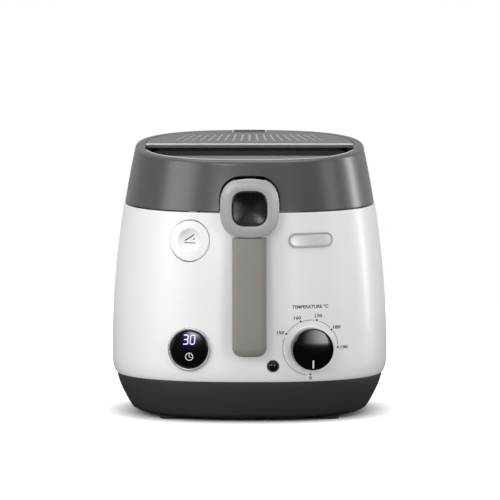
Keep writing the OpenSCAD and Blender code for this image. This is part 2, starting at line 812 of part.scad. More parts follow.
gland_z = 24;
gland_r = 6.8;
gland_y = base_w(gland_z) + depth_more;
gland_len = 18;
gland_boss = 9;

module cord_gland() {
  centred() color("#222224") translate([0, gland_y + 5, gland_z]) rotate([90, 0, 0]) difference() {
    union() {
      cylinder(r = gland_r - 0.1, h = gland_len);
      cylinder(r1 = gland_r + 1, r2 = gland_r + 2.6, h = 4.6);
    }
    translate([0, 0, -1]) cylinder(r = cord_r, h = gland_len + 2);
  }
}

module gland_nut() {
  centred() color("#3a3a3c") translate([0, gland_y - gland_boss - seat_gap, gland_z]) rotate([90, 0, 0])
    difference() {
    cylinder(r = gland_r + 2.6, h = 3.4);
    translate([0, 0, -1]) cylinder(r = gland_r - 0.1, h = 6);
  }
}

block_y = body_d / 2 - 68;
module terminal_block() {
  centred() color("#e6e2d4") difference() {
    block([-22, block_y, base_floor], [22, block_y + 18, base_floor + 14]);
    for (x = [-14, 0, 14]) translate([x, block_y - 1, base_floor + 8])
      rotate([-90, 0, 0]) cylinder(r = 1.9, h = 30);
  }
}

wire_r = 1.6;
module supply_wires() {
  z = base_floor + 8;
  low = knob_z - thermostat_r - 0.6;
  pin_x = coil_r * cos(75);
  pin_y0 = coil_r * sin(75);
  centred() color("#7a2b22") {
    tube([[14, block_y + 4, z], [14, block_y - 20, z], [knob_x - 9, 20, z],
      [knob_x - 9, thermostat_y + 27, z], [knob_x - 9, thermostat_y, base_top - 8],
      [knob_x - 3, thermostat_y, low - 9], [knob_x - 3, thermostat_y, low]], wire_r);
    tube([[-14, block_y + 4, z], [-14, block_y - 22, z], [-9, 30, z + 6], [-7, 12, plate_z - 8],
      [-8, 12, shield_z + 5], [-pin_x, pin_y0 - 9, shield_z + 4], [-pin_x, pin_y0 - 3.5, shield_z + 4.4],
      [-pin_x, pin_y0 - 3.5, shield_z + 7.6]], wire_r);
  }
}

// ---- lid ----

open_w = cover_w + loose_gap;
pan_t = 2.6;
pan_wall_top = lip_bottom - 3.5;
window_front = recess_front + 44;
window_back = cover_front - 21;
arch_gap = 1.9;

// Space above the curved floor of the steam recess, made thicker by g below
module recess_space(g) {
  intersection() {
    translate([0, recess_mid, recess_low + recess_r]) rotate([0, 90, 0])
      cylinder(r = recess_r + g, h = 400, center = true, $fn = 480);
    block([-200, -200, recess_low - 10], [200, 50, lid_top + 20]);
  }
}

module recess_pan() {
  difference() {
    intersection() {
      lid_form(0, lid_bottom, lid_top);
      top_prism(open_w + 2.2, recess_low - 10);
      front_half(cover_front + pan_t);
      recess_space(pan_t);
    }
    intersection() {
      top_prism(open_w, recess_low - 10);
      front_half(cover_front);
      recess_space(0);
    }
    block([-200, cover_front - 1, pan_wall_top], [200, cover_front + 20, lid_top + 20]);
    block([-window_x - 1, window_front - 1, 200], [window_x + 1, window_back + 1, lid_top + 10]);
  }
}

module lid_shell() {
  centred() color("#545557") difference() {
    union() {
      difference() {
        lid_form(0, lid_bottom, lid_top);
        loft([for (i = [0 : 4]) let (z = lid_bottom - 1 + (lid_top - lid_t - lid_bottom + 1) * i / 4)
          lid_level(lid_w(min(z, lid_top - round_r)) - wall, z)]);
        top_prism(open_w, lid_top - 12);
      }
      recess_pan();
      for (s = [-1, 1]) sided(s) {
        block([open_w, cover_pin_y - 4, cover_pin_z - 4], [open_w + 5, cover_pin_y + 4, cover_pin_z + 1]);
        difference() {
          link([hinge_y, hinge_z], [hinge_y - 12, hinge_z + 9.5], hinge_r, lid_knuckle[0], lid_knuckle[1]);
          lid_form(wall / 2, lid_bottom - 5, lid_top);
        }
      }
    }
    intersection() {
      squircle(ring_w + arch_gap, -300, 0, ring_mid);
      block([-60, -300, ring_mid], [60, -100, 400]);
    }
    block([-ring_w - arch_gap, -300, 200], [ring_w + arch_gap, -100, ring_mid + 0.1]);
    rod_x(cover_pin_r + run_gap, 2 * open_w + 9, cover_pin_y, cover_pin_z);
    rod_x(hinge_pin_r + run_gap, 150, hinge_y, hinge_z);
  }
}

module viewing_window() {
  centred() color("#2a2c30", 0.6) intersection() {
    difference() {
      recess_space(pan_t);
      recess_space(seat_gap);
    }
    block([-window_x - 0.7, window_front - 0.7, 200], [window_x + 0.7, window_back + 0.7, lid_top]);
  }
}

liner_t = 1.2;
gasket_t = 3.6;
gasket_z = rim_top + 0.35;
liner_z = gasket_z + gasket_t;
notch_x = 16;
notch_y = -(bowl_w - 19);

module lid_liner() {
  top = recess_low - pan_t - seat_gap;
  flange = lid_w(liner_z + 1.5) - wall - 0.6;
  centred() color("#b9bcc0") difference() {
    loft([
      level(bowl_w - 18, top - liner_t), level(bowl_w - 13, top - liner_t - 2),
      level(bowl_w - 11, top - liner_t - 7), level(bowl_w - 6, liner_z + 3),
      level(bowl_w - 4, liner_z), level(flange, liner_z),
      level(flange, liner_z + liner_t), level(bowl_w - 3.4, liner_z + liner_t),
      level(bowl_w - 5, liner_z + 4.4), level(bowl_w - 9.8, top - 7),
      level(bowl_w - 12.2, top - 1.6), level(bowl_w - 17, top)
    ]);
    block([-notch_x, -200, 0], [notch_x, notch_y, 400]);
    block([hook_x - 8, -200, 0], [hook_x + 8, hook_y + 6, 400]);
    for (i = [-3 : 3]) translate([i * 22 - 3, 30, top - 5]) cube([6, 60, 10]);
    block([-window_x + 14, window_front + 8, top - 5], [window_x - 14, window_back - 4, top + 5]);
  }
}

module lid_gasket() {
  centred() color("#8f9296") difference() {
    loft([
      level(bowl_w + 3, gasket_z), level(bowl_w + 4, gasket_z + 1.2), level(bowl_w + 3.4, liner_z - 0.1),
      level(bowl_w - 3, liner_z - 0.1), level(bowl_w - 1.6, gasket_z + 1.2), level(bowl_w - 1, gasket_z)
    ], tube = true);
    block([-notch_x, -200, 0], [notch_x, notch_y, 400]);
    block([hook_x - 8, -200, 0], [hook_x + 8, hook_y + 6, 400]);
  }
}

tray_w = cover_w - 3;
tray_floor = recess_low + 2;
tray_front = cover_front + pan_t + seat_gap;

module filter_tray() {
  top = lid_top - lid_t - seat_gap;
  centred() color("#6b6c6e") intersection() {
    difference() {
      union() {
        loft([
          lid_level(tray_w - 8, tray_floor), lid_level(tray_w - 2, tray_floor + 3),
          lid_level(tray_w, tray_floor + 8), lid_level(tray_w, top - 2),
          lid_level(tray_w + 8, top - 2), lid_level(tray_w + 8, top), lid_level(tray_w - 2, top),
          lid_level(tray_w - 2, tray_floor + 8), lid_level(tray_w - 4, tray_floor + 4.6),
          lid_level(tray_w - 8, tray_floor + 2)
        ]);
        intersection() {
          loft([lid_level(tray_w - 1, tray_floor + 5), lid_level(tray_w - 1, top - 4)]);
          block([-200, tray_front, 200], [200, tray_front + 2, 300]);
        }
      }
      for (s = [-1, 1]) sided(s)
        block([cover_w - 9, 0, cover_pin_z - 6], [open_w + 6, cover_pin_y + 6, 300]);
      for (i = [-3 : 3]) translate([i * 22 - 3, 30, tray_floor - 5]) cube([6, 60, 14]);
    }
    rear_half(tray_front);
  }
}

module carbon_filter() {
  centred() color("#3b3c3e") intersection() {
    loft([lid_level(tray_w - 9, tray_floor + 2.1), lid_level(tray_w - 9, lid_top - cover_t - 2.6)]);
    rear_half(tray_front + 8);
  }
}

module lid_strike() {
  centred() color("silver") intersection() {
    block([hook_x - hook_half, hook_y - 20, deck_z + 1.2],
      [hook_x + hook_half, hook_y - 0.4, lid_bottom + 8]);
    lid_form(wall + 0.1, deck_z, lid_top);
    difference() {
      block([-200, -300, 0], [200, 0, 400]);
      translate([0, 0, deck_z]) linear_extrude(30) plan(lid_w(lid_bottom + 8) - wall - 2.8);
    }
  }
}

// ---- filter cover ----

module filter_cover() {
  tab_x = 17.5;
  slot_reach = cover_w - 30;
  slot_start = cover_front + 32;
  slot_long = cover_w + depth_more - 63.5;
  centred() color("#8b8c8d") difference() {
    intersection() {
      union() {
        loft([lid_level(cover_w, lid_top - cover_t), lid_level(cover_w, lid_top - 0.8),
          lid_level(cover_w - 0.8, lid_top)]);
        intersection() {
          loft([lid_level(cover_w, lip_bottom - 6), lid_level(cover_w, lid_top - 0.8),
            lid_level(cover_w - 0.8, lid_top)]);
          union() {
            block([-200, cover_front, lip_bottom], [200, cover_front + 2.4, 300]);
            for (s = [-1, 1]) sided(s)
              block([cover_w - 8, cover_front, lip_bottom - 0.2], [cover_w, cover_pin_y + 3, 300]);
          }
        }
      }
      rear_half(cover_front);
    }
    rod_x(cover_pin_r, 300, cover_pin_y, cover_pin_z);
    for (i = [0 : slot_count - 1]) {
      x = slot_reach * (2 * i / (slot_count - 1) - 1);
      translate([x, slot_start, lid_top - 15]) rotate([0, 0, atan(0.2 * x / slot_long)])
        translate([-slot_w / 2, 0, 0]) cube([slot_w, slot_long, 30]);
    }
    for (s = [-1, 1]) translate([s * tab_x - 1.2, cover_w + depth_more - 9, lid_top - 10])
      cube([2.4, 30, 30]);
  }
}

module cover_pins() {
  centred() color("silver") for (s = [-1, 1])
    rod_x(cover_pin_r, 11.5, cover_pin_y, cover_pin_z, s * (cover_w - 1.5));
}

// ---- handle ----

hole_w = slider_w + 0.6;
bar_t = 9;
web_y = ring_front + 11.5;

module handle_ring() {
  centred() color("#c2c4c5") difference() {
    union() {
      difference() {
        squircle(ring_w, ring_front, ring_back, ring_mid);
        squircle(hole_w, ring_front - 1, ring_back + 1, ring_mid);
        block([-cheek_in, ring_front + bar_t, 100], [cheek_in, 0, 400]);
      }
      intersection() {
        squircle(ring_w - 0.6, ring_front + 5, pivot_y + 10, ring_mid);
        for (s = [-1, 1]) sided(s) rod_x(ear_r, 20, pivot_y, pivot_z, cheek_in + 10);
      }
      block([-cheek_in - 4, web_y, ring_bottom + 13], [cheek_in + 4, web_y + 2.4, ring_bottom + 36]);
    }
    rod_x(shaft_r, 52, pivot_y, pivot_z);
    for (s = [-1, 1]) translate([s * 8, ring_front + 5, ring_bottom + 6])
      rotate([-90, 0, 0]) cylinder(r = 1.5, h = 30);
  }
}

// Grip as ovals stacked from its rounded lower end up to the ring
module grip_form() {
  loft(grip_levels, n = 40, e = 3);
}

split = [[ring_front + 10.5, ring_bottom + 5], [ring_front - 3, grip_end - 5],
  [ring_front + 60, grip_end - 5], [ring_front + 60, ring_bottom + 5]];

// Tongue that carries the grip behind the ring's lower bar
module grip_tongue(g = 0) {
  block([-12 - g, ring_front + bar_t + 0.2 - g, ring_bottom - 9 - g],
    [12 + g, ring_front + bar_t + 6 + g, ring_bottom + 11 + g]);
}

module handle_grip() {
  centred() color("#8c8983") difference() {
    grip_form();
    side_plate(split, -grip_w - 20, grip_w + 20);
    grip_tongue(seat_gap);
  }
}

module grip_back() {
  centred() color("#77746e") difference() {
    union() {
      intersection() {
        grip_form();
        translate([0, seat_gap, 0]) side_plate(split, -grip_w - 20, grip_w + 20);
      }
      grip_tongue();
    }
    for (s = [-1, 1]) translate([s * 8, ring_front + 5, ring_bottom + 6])
      rotate([-90, 0, 0]) cylinder(r = 1.5, h = 30);
  }
}

module handle_screws() {
  centred() color("silver") for (s = [-1, 1])
    translate([s * 8, ring_front + 5.4, ring_bottom + 6]) rotate([-90, 0, 0]) {
      cylinder(r = 1.5, h = bar_t + 0.7);
      translate([0, 0, bar_t + 0.7]) cylinder(r = 2.8, h = 1.6);
    }
}

module handle_shaft() {
  centred() color("silver") rod_x(shaft_r, 51, pivot_y, pivot_z);
}

gear_r = gear_span / 2;
module drive_gear() {
  centred() color("#d0cdb8") translate([0, pivot_y, pivot_z]) difference() {
    gear(gear_r, teeth, -45, -arm_half, arm_half);
    rod_x(shaft_r, 40, 0, 0);
  }
}

module handle_slider() {
  centred() color("#0e0e0f") {
    squircle(slider_w, ring_front - 1.5, ring_front + 5, ring_mid);
  }
}

module slider_spring() {
  centred() color("silver") translate([0, ring_front + 5, ring_mid - 6]) rotate([-90, 0, 0])
    spring(5, 0.5, web_y - ring_front - 5 - slider_travel - 0.3, 3);
}

// ---- lift mechanism ----

bracket_screw_x = [-17, 17];
bracket_mid = -(half_w(deck_z) - wall + depth_more) + 5.3;

module lift_bracket() {
  centred() color("#4a4b4e") difference() {
    union() {
      for (s = [-1, 1]) sided(s) {
        link([pivot_y, pivot_z], [arm_y, arm_z], ear_r, ear_in, ear_in + ear_t);
        block([ear_in, bracket_mid - 3.4, deck_z], [ear_in + ear_t, bracket_mid + 3.4, arm_z]);
      }
      block([-22, bracket_mid - 3.4, deck_z], [22, bracket_mid + 3.4, deck_z + 2.4]);
    }
    for (p = [[pivot_y, pivot_z], [arm_y, arm_z]]) rod_x(shaft_r + run_gap, 60, p[0], p[1]);
    for (x = bracket_screw_x) translate([x, bracket_mid, deck_z - 10]) cylinder(r = 1.6, h = 20);
  }
}

module bracket_screws() {
  centred() color("silver") for (x = bracket_screw_x) translate([x, bracket_mid, deck_z - 5]) {
    cylinder(r = 1.6, h = 7.4);
    translate([0, 0, 7.4]) cylinder(r = 3, h = 1.8);
  }
}

elbow = [-(bowl_w - bowl_t + depth_more) + 8, rim_top + 11];
module lift_arm() {
  centred() color("#b9bcc0") difference() {
    union() {
      translate([0, arm_y, arm_z]) gear(gear_r, teeth, 135 + 180 / teeth, -arm_half, arm_half);
      link([arm_y, arm_z], elbow, 3.5, -arm_half, arm_half);
      link(elbow, [pin_y, pin_z], 3.5, -arm_half, arm_half);
      rod_x(5, 2 * arm_half, pin_y, pin_z);
    }
    rod_x(shaft_r, 60, arm_y, arm_z);
    rod_x(arm_pin_r, 60, pin_y, pin_z);
  }
}

module arm_shaft() {
  centred() color("silver") rod_x(shaft_r, 2 * (ear_in + ear_t + 1), arm_y, arm_z);
}

module arm_pin() {
  centred() color("silver") rod_x(arm_pin_r, 2 * (hanger_in + hanger_t + 1.6), pin_y, pin_z);
}

// ---- basket ----

function basket_level(w, z) = [w, w + basket_more, basket_shift, z, 0];

module basket_mesh() {
  centred() color("#c9ccd0") loft([
    basket_level(basket_w - 12, basket_z), basket_level(basket_w - 6, basket_z + 3),
    basket_level(basket_w - 3, basket_z + 10), basket_level(basket_w, basket_top),
    basket_level(basket_w - basket_t, basket_top), basket_level(basket_w - 3 - basket_t, basket_z + 10),
    basket_level(basket_w - 7.4, basket_z + 4), basket_level(basket_w - 12, basket_z + basket_t)
  ]);
}

frame_r = 1.5;
module basket_frame() {
  low = basket_z - frame_r;
  rise = 8;
  centred() color("#c9ccd0") {
    loft([
      basket_level(basket_w + 0.1, basket_top - 2 * frame_r),
      basket_level(basket_w + 0.1 + 2 * frame_r, basket_top - 2 * frame_r),
      basket_level(basket_w + 0.1 + 2 * frame_r, basket_top), basket_level(basket_w + 0.1, basket_top)
    ], tube = true);
    for (y = [-40, basket_shift, 60])
      wire([[-basket_w + 24, y, low], [basket_w - 24, y, low]], frame_r);
    wire([[0, -60, low], [0, 80, low]], frame_r);
  }
}

module basket_hanger() {
  plate_y = basket_front - 2 * frame_r - 0.4;
  foot = [plate_y - 1.6, basket_top - 12];
  centred() color("#b9bcc0") difference() {
    union() {
      for (s = [-1, 1]) sided(s) {
        x0 = hanger_in;
        x1 = hanger_in + hanger_t;
        link([slot_y0, slot_z], [slot_y1, slot_z], slot_r + 3, x0, x1);
        link([slot_y1, slot_z], foot, 5, x0, x1);
      }
      block([-hanger_in - hanger_t, plate_y - 1.6, basket_top - 40],
        [hanger_in + hanger_t, plate_y, basket_top + 6]);
    }
    link([slot_y0, slot_z], [slot_y1, slot_z], slot_r, -40, 40);
    block([-40, plate_y, 0], [40, 200, 400]);
  }
}

base_tray();
rubber_feet();
base_screws();
chassis_plate();
outer_shell();
heat_shield();
bowl_standoffs();
oil_bowl();
heater_plate();
heater_coil();
thermal_cutout();
thermostat_body();
thermostat_bulb();
thermostat_nut();
lamp_lens();
lamp_holder();
timer_bezel();
timer_housing();
timer_board();
timer_battery();
badge_plate();
button_guide();
lift_bracket();
bracket_screws();
hinge_bracket();
hinge_pins();
terminal_block();
cord_gland();
gland_nut();
supply_wires();
lid_shell();
lid_liner();
lid_gasket();
viewing_window();
filter_tray();
carbon_filter();
lid_strike();
filter_cover();
cover_pins();
handle_ring();
handle_grip();
grip_back();
handle_shaft();
drive_gear();
handle_screws();
handle_slider();
slider_spring();
lift_arm();
arm_shaft();
arm_pin();
basket_mesh();
basket_frame();
basket_hanger();
temperature_knob();
knob_shaft();
timer_button();
timer_spring();
lid_button();
button_springs();
latch_hook();
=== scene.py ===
import math
import bmesh
import bpy
import numpy as np
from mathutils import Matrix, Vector


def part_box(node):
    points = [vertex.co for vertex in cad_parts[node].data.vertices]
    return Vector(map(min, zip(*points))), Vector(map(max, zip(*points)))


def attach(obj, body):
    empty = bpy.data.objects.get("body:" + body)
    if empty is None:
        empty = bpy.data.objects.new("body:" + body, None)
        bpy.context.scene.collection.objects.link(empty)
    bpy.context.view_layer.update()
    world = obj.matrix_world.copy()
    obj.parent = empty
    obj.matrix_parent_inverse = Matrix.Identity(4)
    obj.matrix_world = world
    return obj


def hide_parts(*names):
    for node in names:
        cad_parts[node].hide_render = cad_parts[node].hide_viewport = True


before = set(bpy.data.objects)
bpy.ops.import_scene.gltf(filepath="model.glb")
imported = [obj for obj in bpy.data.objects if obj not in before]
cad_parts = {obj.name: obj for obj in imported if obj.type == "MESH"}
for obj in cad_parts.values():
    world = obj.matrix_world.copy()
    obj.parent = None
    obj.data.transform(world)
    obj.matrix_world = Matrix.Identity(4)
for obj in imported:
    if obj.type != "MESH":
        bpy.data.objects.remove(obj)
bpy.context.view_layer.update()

scene = bpy.context.scene


def boxMm(node):
    # the two corners of a CAD node's box, in mm
    lo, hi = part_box(node)
    return np.array(lo) * 1000, np.array(hi) * 1000


# Shapes below are worked out in mm about the middle of the body, then shifted and scaled once.
shellLo, shellHi = boxMm("outer_shell")
form = {
    "halfWidth": (shellHi[0] - shellLo[0]) / 2,
    "middleY": (shellHi[1] + shellLo[1]) / 2,
    "bodyTop": shellHi[2],
    "depthMore": 17.5,   # the half depth is the half width and this much more
    "corner": 2.5,       # how squarely the plan is drawn
    "belly": 60.0, "taper": 12.5, "hem": 5.0,   # widest height, and how far it draws in above and below
    "baseTop": 42.0, "footHeight": 3.0, "baseTaper": 18.3,
    "wall": 2.6, "lidInset": 0.8,
    "lidBottom": 218.2, "lidTop": 276.0, "lidRise": 0.0427,
}


# A shape is (points in mm, four-sided faces, three-sided faces), with its faces pointing outwards.
def gridShape(points, wrapRows=False, wrapCols=True, capFirst=True, capLast=True):
    # points[row, column]; neighbours are joined, and open end rows close on a middle point
    rows, cols = points.shape[:2]
    verts = points.reshape(-1, 3)
    i = np.arange(rows if wrapRows else rows - 1)[:, None]
    j = np.arange(cols if wrapCols else cols - 1)[None, :]
    nextRow, nextCol = (i + 1) % rows, (j + 1) % cols
    corners = [i * cols + j, i * cols + nextCol, nextRow * cols + nextCol, nextRow * cols + j]
    quads = np.stack(np.broadcast_arrays(*corners), -1).reshape(-1, 4)
    tris = np.zeros((0, 3), int)
    if wrapCols and not wrapRows:
        k = np.arange(cols)
        for use, row, order in ((capFirst, 0, 1), (capLast, rows - 1, -1)):
            if not use:
                continue
            pole = len(verts)
            verts = np.vstack([verts, points[row].mean(0)])
            a, b = row * cols + k, row * cols + (k + 1) % cols
            fan = np.stack([np.full(cols, pole), b, a][::order], -1)
            tris = np.vstack([tris, fan])
    return outwards((verts, quads, tris))


def outwards(shape):
    # the sum of the tetrahedra from the origin to each face is negative when a shape is inside out
    verts, quads, tris = shape
    faces = np.vstack([quads[:, [0, 1, 2]], quads[:, [0, 2, 3]], tris])
    a, b, c = verts[faces[:, 0]], verts[faces[:, 1]], verts[faces[:, 2]]
    if np.einsum("ij,ij->i", a, np.cross(b, c)).sum() < 0:
        return verts, quads[:, ::-1], tris[:, ::-1]
    return shape


def merged(shapes):
    # shapes put into one, each one's faces counted on from the points before it
    verts, quads, tris, first = [], [], [], 0
    for v, q, t in shapes:
        verts.append(v)
        quads.append(q + first)
        tris.append(t + first)
        first += len(v)
    return np.vstack(verts), np.vstack(quads), np.vstack(tris)


def rounded(corners, closed=True, steps=5):
    # a profile whose corners (a, b, radius) become parabolas, between where an arc of that radius would touch
    pts = [np.array(c[:2], float) for c in corners]
    out = []
    for k, (p, corner) in enumerate(zip(pts, corners)):
        r = corner[2]
        if r <= 0 or (not closed and k in (0, len(pts) - 1)):
            out.append(p[None])
            continue
        before, after = pts[k - 1] - p, pts[(k + 1) % len(pts)] - p
        u, v = before / np.linalg.norm(before), after / np.linalg.norm(after)
        half = math.acos(np.clip(u @ v, -1, 1)) / 2
        if half > math.pi / 2 - 0.02:   # hardly a corner at all
            out.append(p[None])
            continue
        reach = min(r / math.tan(half), np.linalg.norm(before) * 0.49, np.linalg.norm(after) * 0.49)
        t = np.linspace(0, 1, steps + 1)[:, None]
        out.append((1 - t) ** 2 * (p + u * reach) + 2 * t * (1 - t) * p + t ** 2 * (p + v * reach))
    return np.vstack(out)


def signedPower(v, e):
    # the size raised to a power, with its sign kept
    return np.sign(v) * np.abs(v) ** e


def ovalAt(t, w, d, e):
    # the point of the oval |x/w|^e + |y/d|^e = 1 at each angle
    return w * signedPower(np.cos(t), 2 / e), d * signedPower(np.sin(t), 2 / e)


def circle(u, v, radius, count):
    # points round a circle, as pairs
    t = np.linspace(0, 2 * math.pi, count, endpoint=False)
    return np.column_stack([u + radius * np.cos(t), v + radius * np.sin(t)])


def halfWidth(z):
    # above the belly the side leans in by the square of the height, below it turns in on a quarter oval
    z = np.asarray(z, float)
    up = np.clip((z - form["belly"]) / (form["bodyTop"] - form["belly"]), 0, None)
    down = np.clip((form["belly"] - z) / (form["belly"] - form["baseTop"]), 0, 1)
    return form["halfWidth"] - form["taper"] * up ** 2 - form["hem"] * (1 - np.sqrt(1 - down ** 2))


def baseWidth(z):
    # the base leans in faster the lower it is
    low = np.clip(form["baseTop"] - np.asarray(z, float), 0, None)
    span = form["baseTop"] - form["footHeight"]
    return form["halfWidth"] - form["hem"] - form["baseTaper"] * (low / span) ** 1.5


def lidWidth(z):
    # the lid's side carries on the body's lean, a little inside it
    return halfWidth(z) - form["lidInset"]


def ovalFront(x, w):
    # front of the plan's oval of half width w, at a place across
    e = form["corner"]
    return -(w + form["depthMore"]) * (1 - np.clip(np.abs(x) / w, 0, 1) ** e) ** (1 / e)


def wallY(x, z):
    # front of the body at a place across and a height
    return ovalFront(x, halfWidth(z))


def ovalGrid(width, height, cols, rise=0.0, more=form["depthMore"]):
    # one oval of the plan per row, lifted by rise times y
    t = np.linspace(0, 2 * math.pi, cols, endpoint=False)[None]
    w, z = np.asarray(width, float)[:, None], np.asarray(height, float)[:, None]
    x, y = ovalAt(t, w, w + more, form["corner"])
    return np.stack([x, y, z + np.asarray(rise).reshape(-1, 1) * y], -1)


def ovalShell(profile, cols=320, rise=0.0, **caps):
    # profile (half width, height) carried round the plan
    return gridShape(ovalGrid(profile[:, 0], profile[:, 1], cols, rise), **caps)


def onWidth(width, z, inset=0.0, radius=0.0):
    # a profile corner at a height, this far inside a width's curve
    return float(width(z)) - inset, z, radius


def sideRun(width, z, inset=0.0):
    # profile points at many heights, this far inside a width's curve
    return np.column_stack([width(z) - inset, z])


def lidRise(z):
    # the lid's slope grows evenly with height, from none at its hem
    return form["lidRise"] * np.clip((z - form["lidBottom"]) / (form["lidTop"] - form["lidBottom"]), 0, 1)


def topZ(y):
    # the lid's top is a plane that rises towards the back
    return form["lidTop"] + form["lidRise"] * y


def wallFrame(x, z, turn, tip=0):
    # origin on the front wall, and the local axes, turned about Z and tipped up: +X right, +Y up, +Z outwards
    t, p = math.radians(turn), math.radians(tip)
    out = np.array([math.cos(p) * math.sin(t), -math.cos(p) * math.cos(t), math.sin(p)])
    right = np.array([math.cos(t), math.sin(t), 0.0])
    return np.array([x, float(wallY(x, z)), z]), np.array([right, np.cross(out, right), out])


def turned(profile, place, cols=96, **caps):
    # profile (radius, height) spun about the local Z of a place
    origin, axes = place
    profile = np.asarray(profile, float)
    t = np.linspace(0, 2 * math.pi, cols, endpoint=False)
    r, h = profile[:, :1], profile[:, 1:2]
    local = np.stack([r * np.cos(t), r * np.sin(t), np.broadcast_to(h, (len(r), cols))], -1)
    return gridShape(origin + local @ axes, **caps)


def squircleGrid(section, middleZ, cols=160, e=3.2):
    # section (half width, y): a rounded square in X and Z at each point
    t = np.linspace(0, 2 * math.pi, cols, endpoint=False)[None]
    w, y = section[:, :1], section[:, 1:2]
    x, z = ovalAt(t, w, w, e)
    return np.stack([x, np.broadcast_to(y, x.shape), middleZ + z], -1)


def prism(outline, a, b, axis):
    # outline carried from a to b along an axis, its two coordinates on the other two axes in order
    outline = np.asarray(outline, float)
    return gridShape(np.stack([np.insert(outline, axis, v, axis=1) for v in (a, b)]))


def block(lo, hi, radius=0.0):
    # a box; a radius rounds its upright edges and bevels those of its top and bottom
    (x0, y0, z0), (x1, y1, z1) = lo, hi
    outline = rounded([(x0, y0, radius), (x1, y0, radius), (x1, y1, radius), (x0, y1, radius)])
    middle = outline.mean(0)
    half = np.array([x1 - x0, y1 - y0]) / 2
    levels = [(0, z0), (0, z1)]
    if radius:
        levels = [(radius, z0), (0, z0 + radius), (0, z1 - radius), (radius, z1)]
    return gridShape(np.stack([np.column_stack([middle + (outline - middle) * (1 - d / half),
                                                np.full(len(outline), z)]) for d, z in levels]))


def slab(above, below):
    # two grids, one over the other, joined along all four sides
    rows = np.concatenate([above, below[::-1]])
    verts, quads, tris = gridShape(rows, wrapRows=True, wrapCols=False)
    n, cols = rows.shape[:2]
    k = np.arange(n // 2 - 1)
    mirror = n - 1 - k
    first = np.stack([k * cols, (k + 1) * cols, (mirror - 1) * cols, mirror * cols], -1)
    last = first[:, ::-1] + cols - 1
    return outwards((verts, np.vstack([quads, first, last]), tris))


def bar(a, b, radius, x0, x1, steps=14):
    # a bar with round ends in the plane across X, from a to b, both (y, z)
    a, b = np.array(a, float), np.array(b, float)
    turn = math.atan2(b[1] - a[1], b[0] - a[0])
    t = np.linspace(math.pi / 2, 3 * math.pi / 2, steps) + turn
    ring = np.column_stack([np.cos(t), np.sin(t)]) * radius
    return prism(np.vstack([a + ring, b - ring]), x0, x1, 0)


def bothSides(a, b):
    # the stretch from a to b along X, on the left and on the right
    return [sorted((s * a, s * b)) for s in (-1, 1)]


def runOf(path, closed):
    # unit direction at each point, from the points on either side of it
    along = np.roll(path, -1, 0) - np.roll(path, 1, 0) if closed else np.gradient(path, axis=0)
    return along / np.linalg.norm(along, axis=1, keepdims=True)


def tubeAlong(path, radius, sides, closed=False):
    # a round section carried along points, square to the run at each one
    path = np.asarray(path, float)
    along = runOf(path, closed)
    side = np.cross(along, (0.31, 0.17, 0.93))   # a slanting direction that no run here takes
    side /= np.linalg.norm(side, axis=1, keepdims=True)
    other = np.cross(along, side)
    t = np.linspace(0, 2 * math.pi, sides, endpoint=False)
    ring = np.cos(t)[None, :, None] * side[:, None] + np.sin(t)[None, :, None] * other[:, None]
    return gridShape(path[:, None] + radius * ring, wrapRows=closed)


def stroke(path, width, surface, lift=0.12, sink=0.3, closed=False):
    # a line of even width along a flat path, laid on a surface(u, v, height) and given a small thickness
    path = np.asarray(path, float)
    along = runOf(path, closed)
    side = np.column_stack([-along[:, 1], along[:, 0]]) * width / 2
    left, right = path + side, path - side
    edges = [(left, -sink), (left, lift), (right, lift), (right, -sink)]
    return gridShape(np.stack([surface(p[:, 0], p[:, 1], h) for p, h in edges], 1), wrapRows=closed)


def lettering(text, surface, x, y, height, width, lift, sink=0.3):
    # words as solid letters, fitted to a height and a width and bent onto a surface(u, v, height)
    curve = bpy.data.curves.new("letters", "FONT")
    curve.body, curve.size, curve.extrude, curve.resolution_u, curve.offset = text, 1.0, 0.5, 3, 0.026
    holder = bpy.data.objects.new("letters", curve)
    scene.collection.objects.link(holder)
    mesh = bpy.data.meshes.new_from_object(holder.evaluated_get(bpy.context.evaluated_depsgraph_get()))
    bpy.data.objects.remove(holder)
    work = bmesh.new()
    work.from_mesh(mesh)
    bmesh.ops.remove_doubles(work, verts=work.verts, dist=1e-5)
    bmesh.ops.triangulate(work, faces=work.faces)
    work.to_mesh(mesh)
    work.free()
    flat = np.zeros(len(mesh.vertices) * 3)
    mesh.vertices.foreach_get("co", flat)
    flat = flat.reshape(-1, 3)
    tris = np.zeros(len(mesh.polygons) * 3, int)
    mesh.polygons.foreach_get("vertices", tris)
    lo, hi = flat.min(0), flat.max(0)
    middle, size = (lo + hi) / 2, hi - lo
    u = x + (flat[:, 0] - middle[0]) * (width / size[0])
    v = y + (flat[:, 1] - middle[1]) * (height / size[1])
    up = np.where(flat[:, 2] > 0, lift, -sink)
    return outwards((surface(u, v, up), np.zeros((0, 4), int), tris.reshape(-1, 3)))


def onWall(u, v, up):
    # u across and v up, straight onto the front wall; up stands off it
    return np.stack([u, wallY(u, v) - up, v + 0 * u], -1)


def onPlace(place, bulge):
    # u across and v up on a place's own plane, lifted by bulge(distance from its middle)
    origin, axes = place

    def surface(u, v, up):
        return origin + np.stack([u, v, up + bulge(np.hypot(u, v)) + 0 * u], -1) @ axes
    return surface


def makeObject(name, shape, sharp=32):
    # shape put in its place and turned to metres, with points at one spot made one
    verts, quads, tris = shape
    mesh = bpy.data.meshes.new(name)
    placed = (verts + [0, form["middleY"], 0]) * 0.001
    mesh.from_pydata(placed.tolist(), [], quads.tolist() + tris.tolist())
    work = bmesh.new()
    work.from_mesh(mesh)
    bmesh.ops.remove_doubles(work, verts=work.verts, dist=3e-6)
    work.to_mesh(mesh)
    work.free()
    mesh.validate()
    obj = bpy.data.objects.new(name, mesh)
    scene.collection.objects.link(obj)
    smooth(obj, sharp)
    return obj


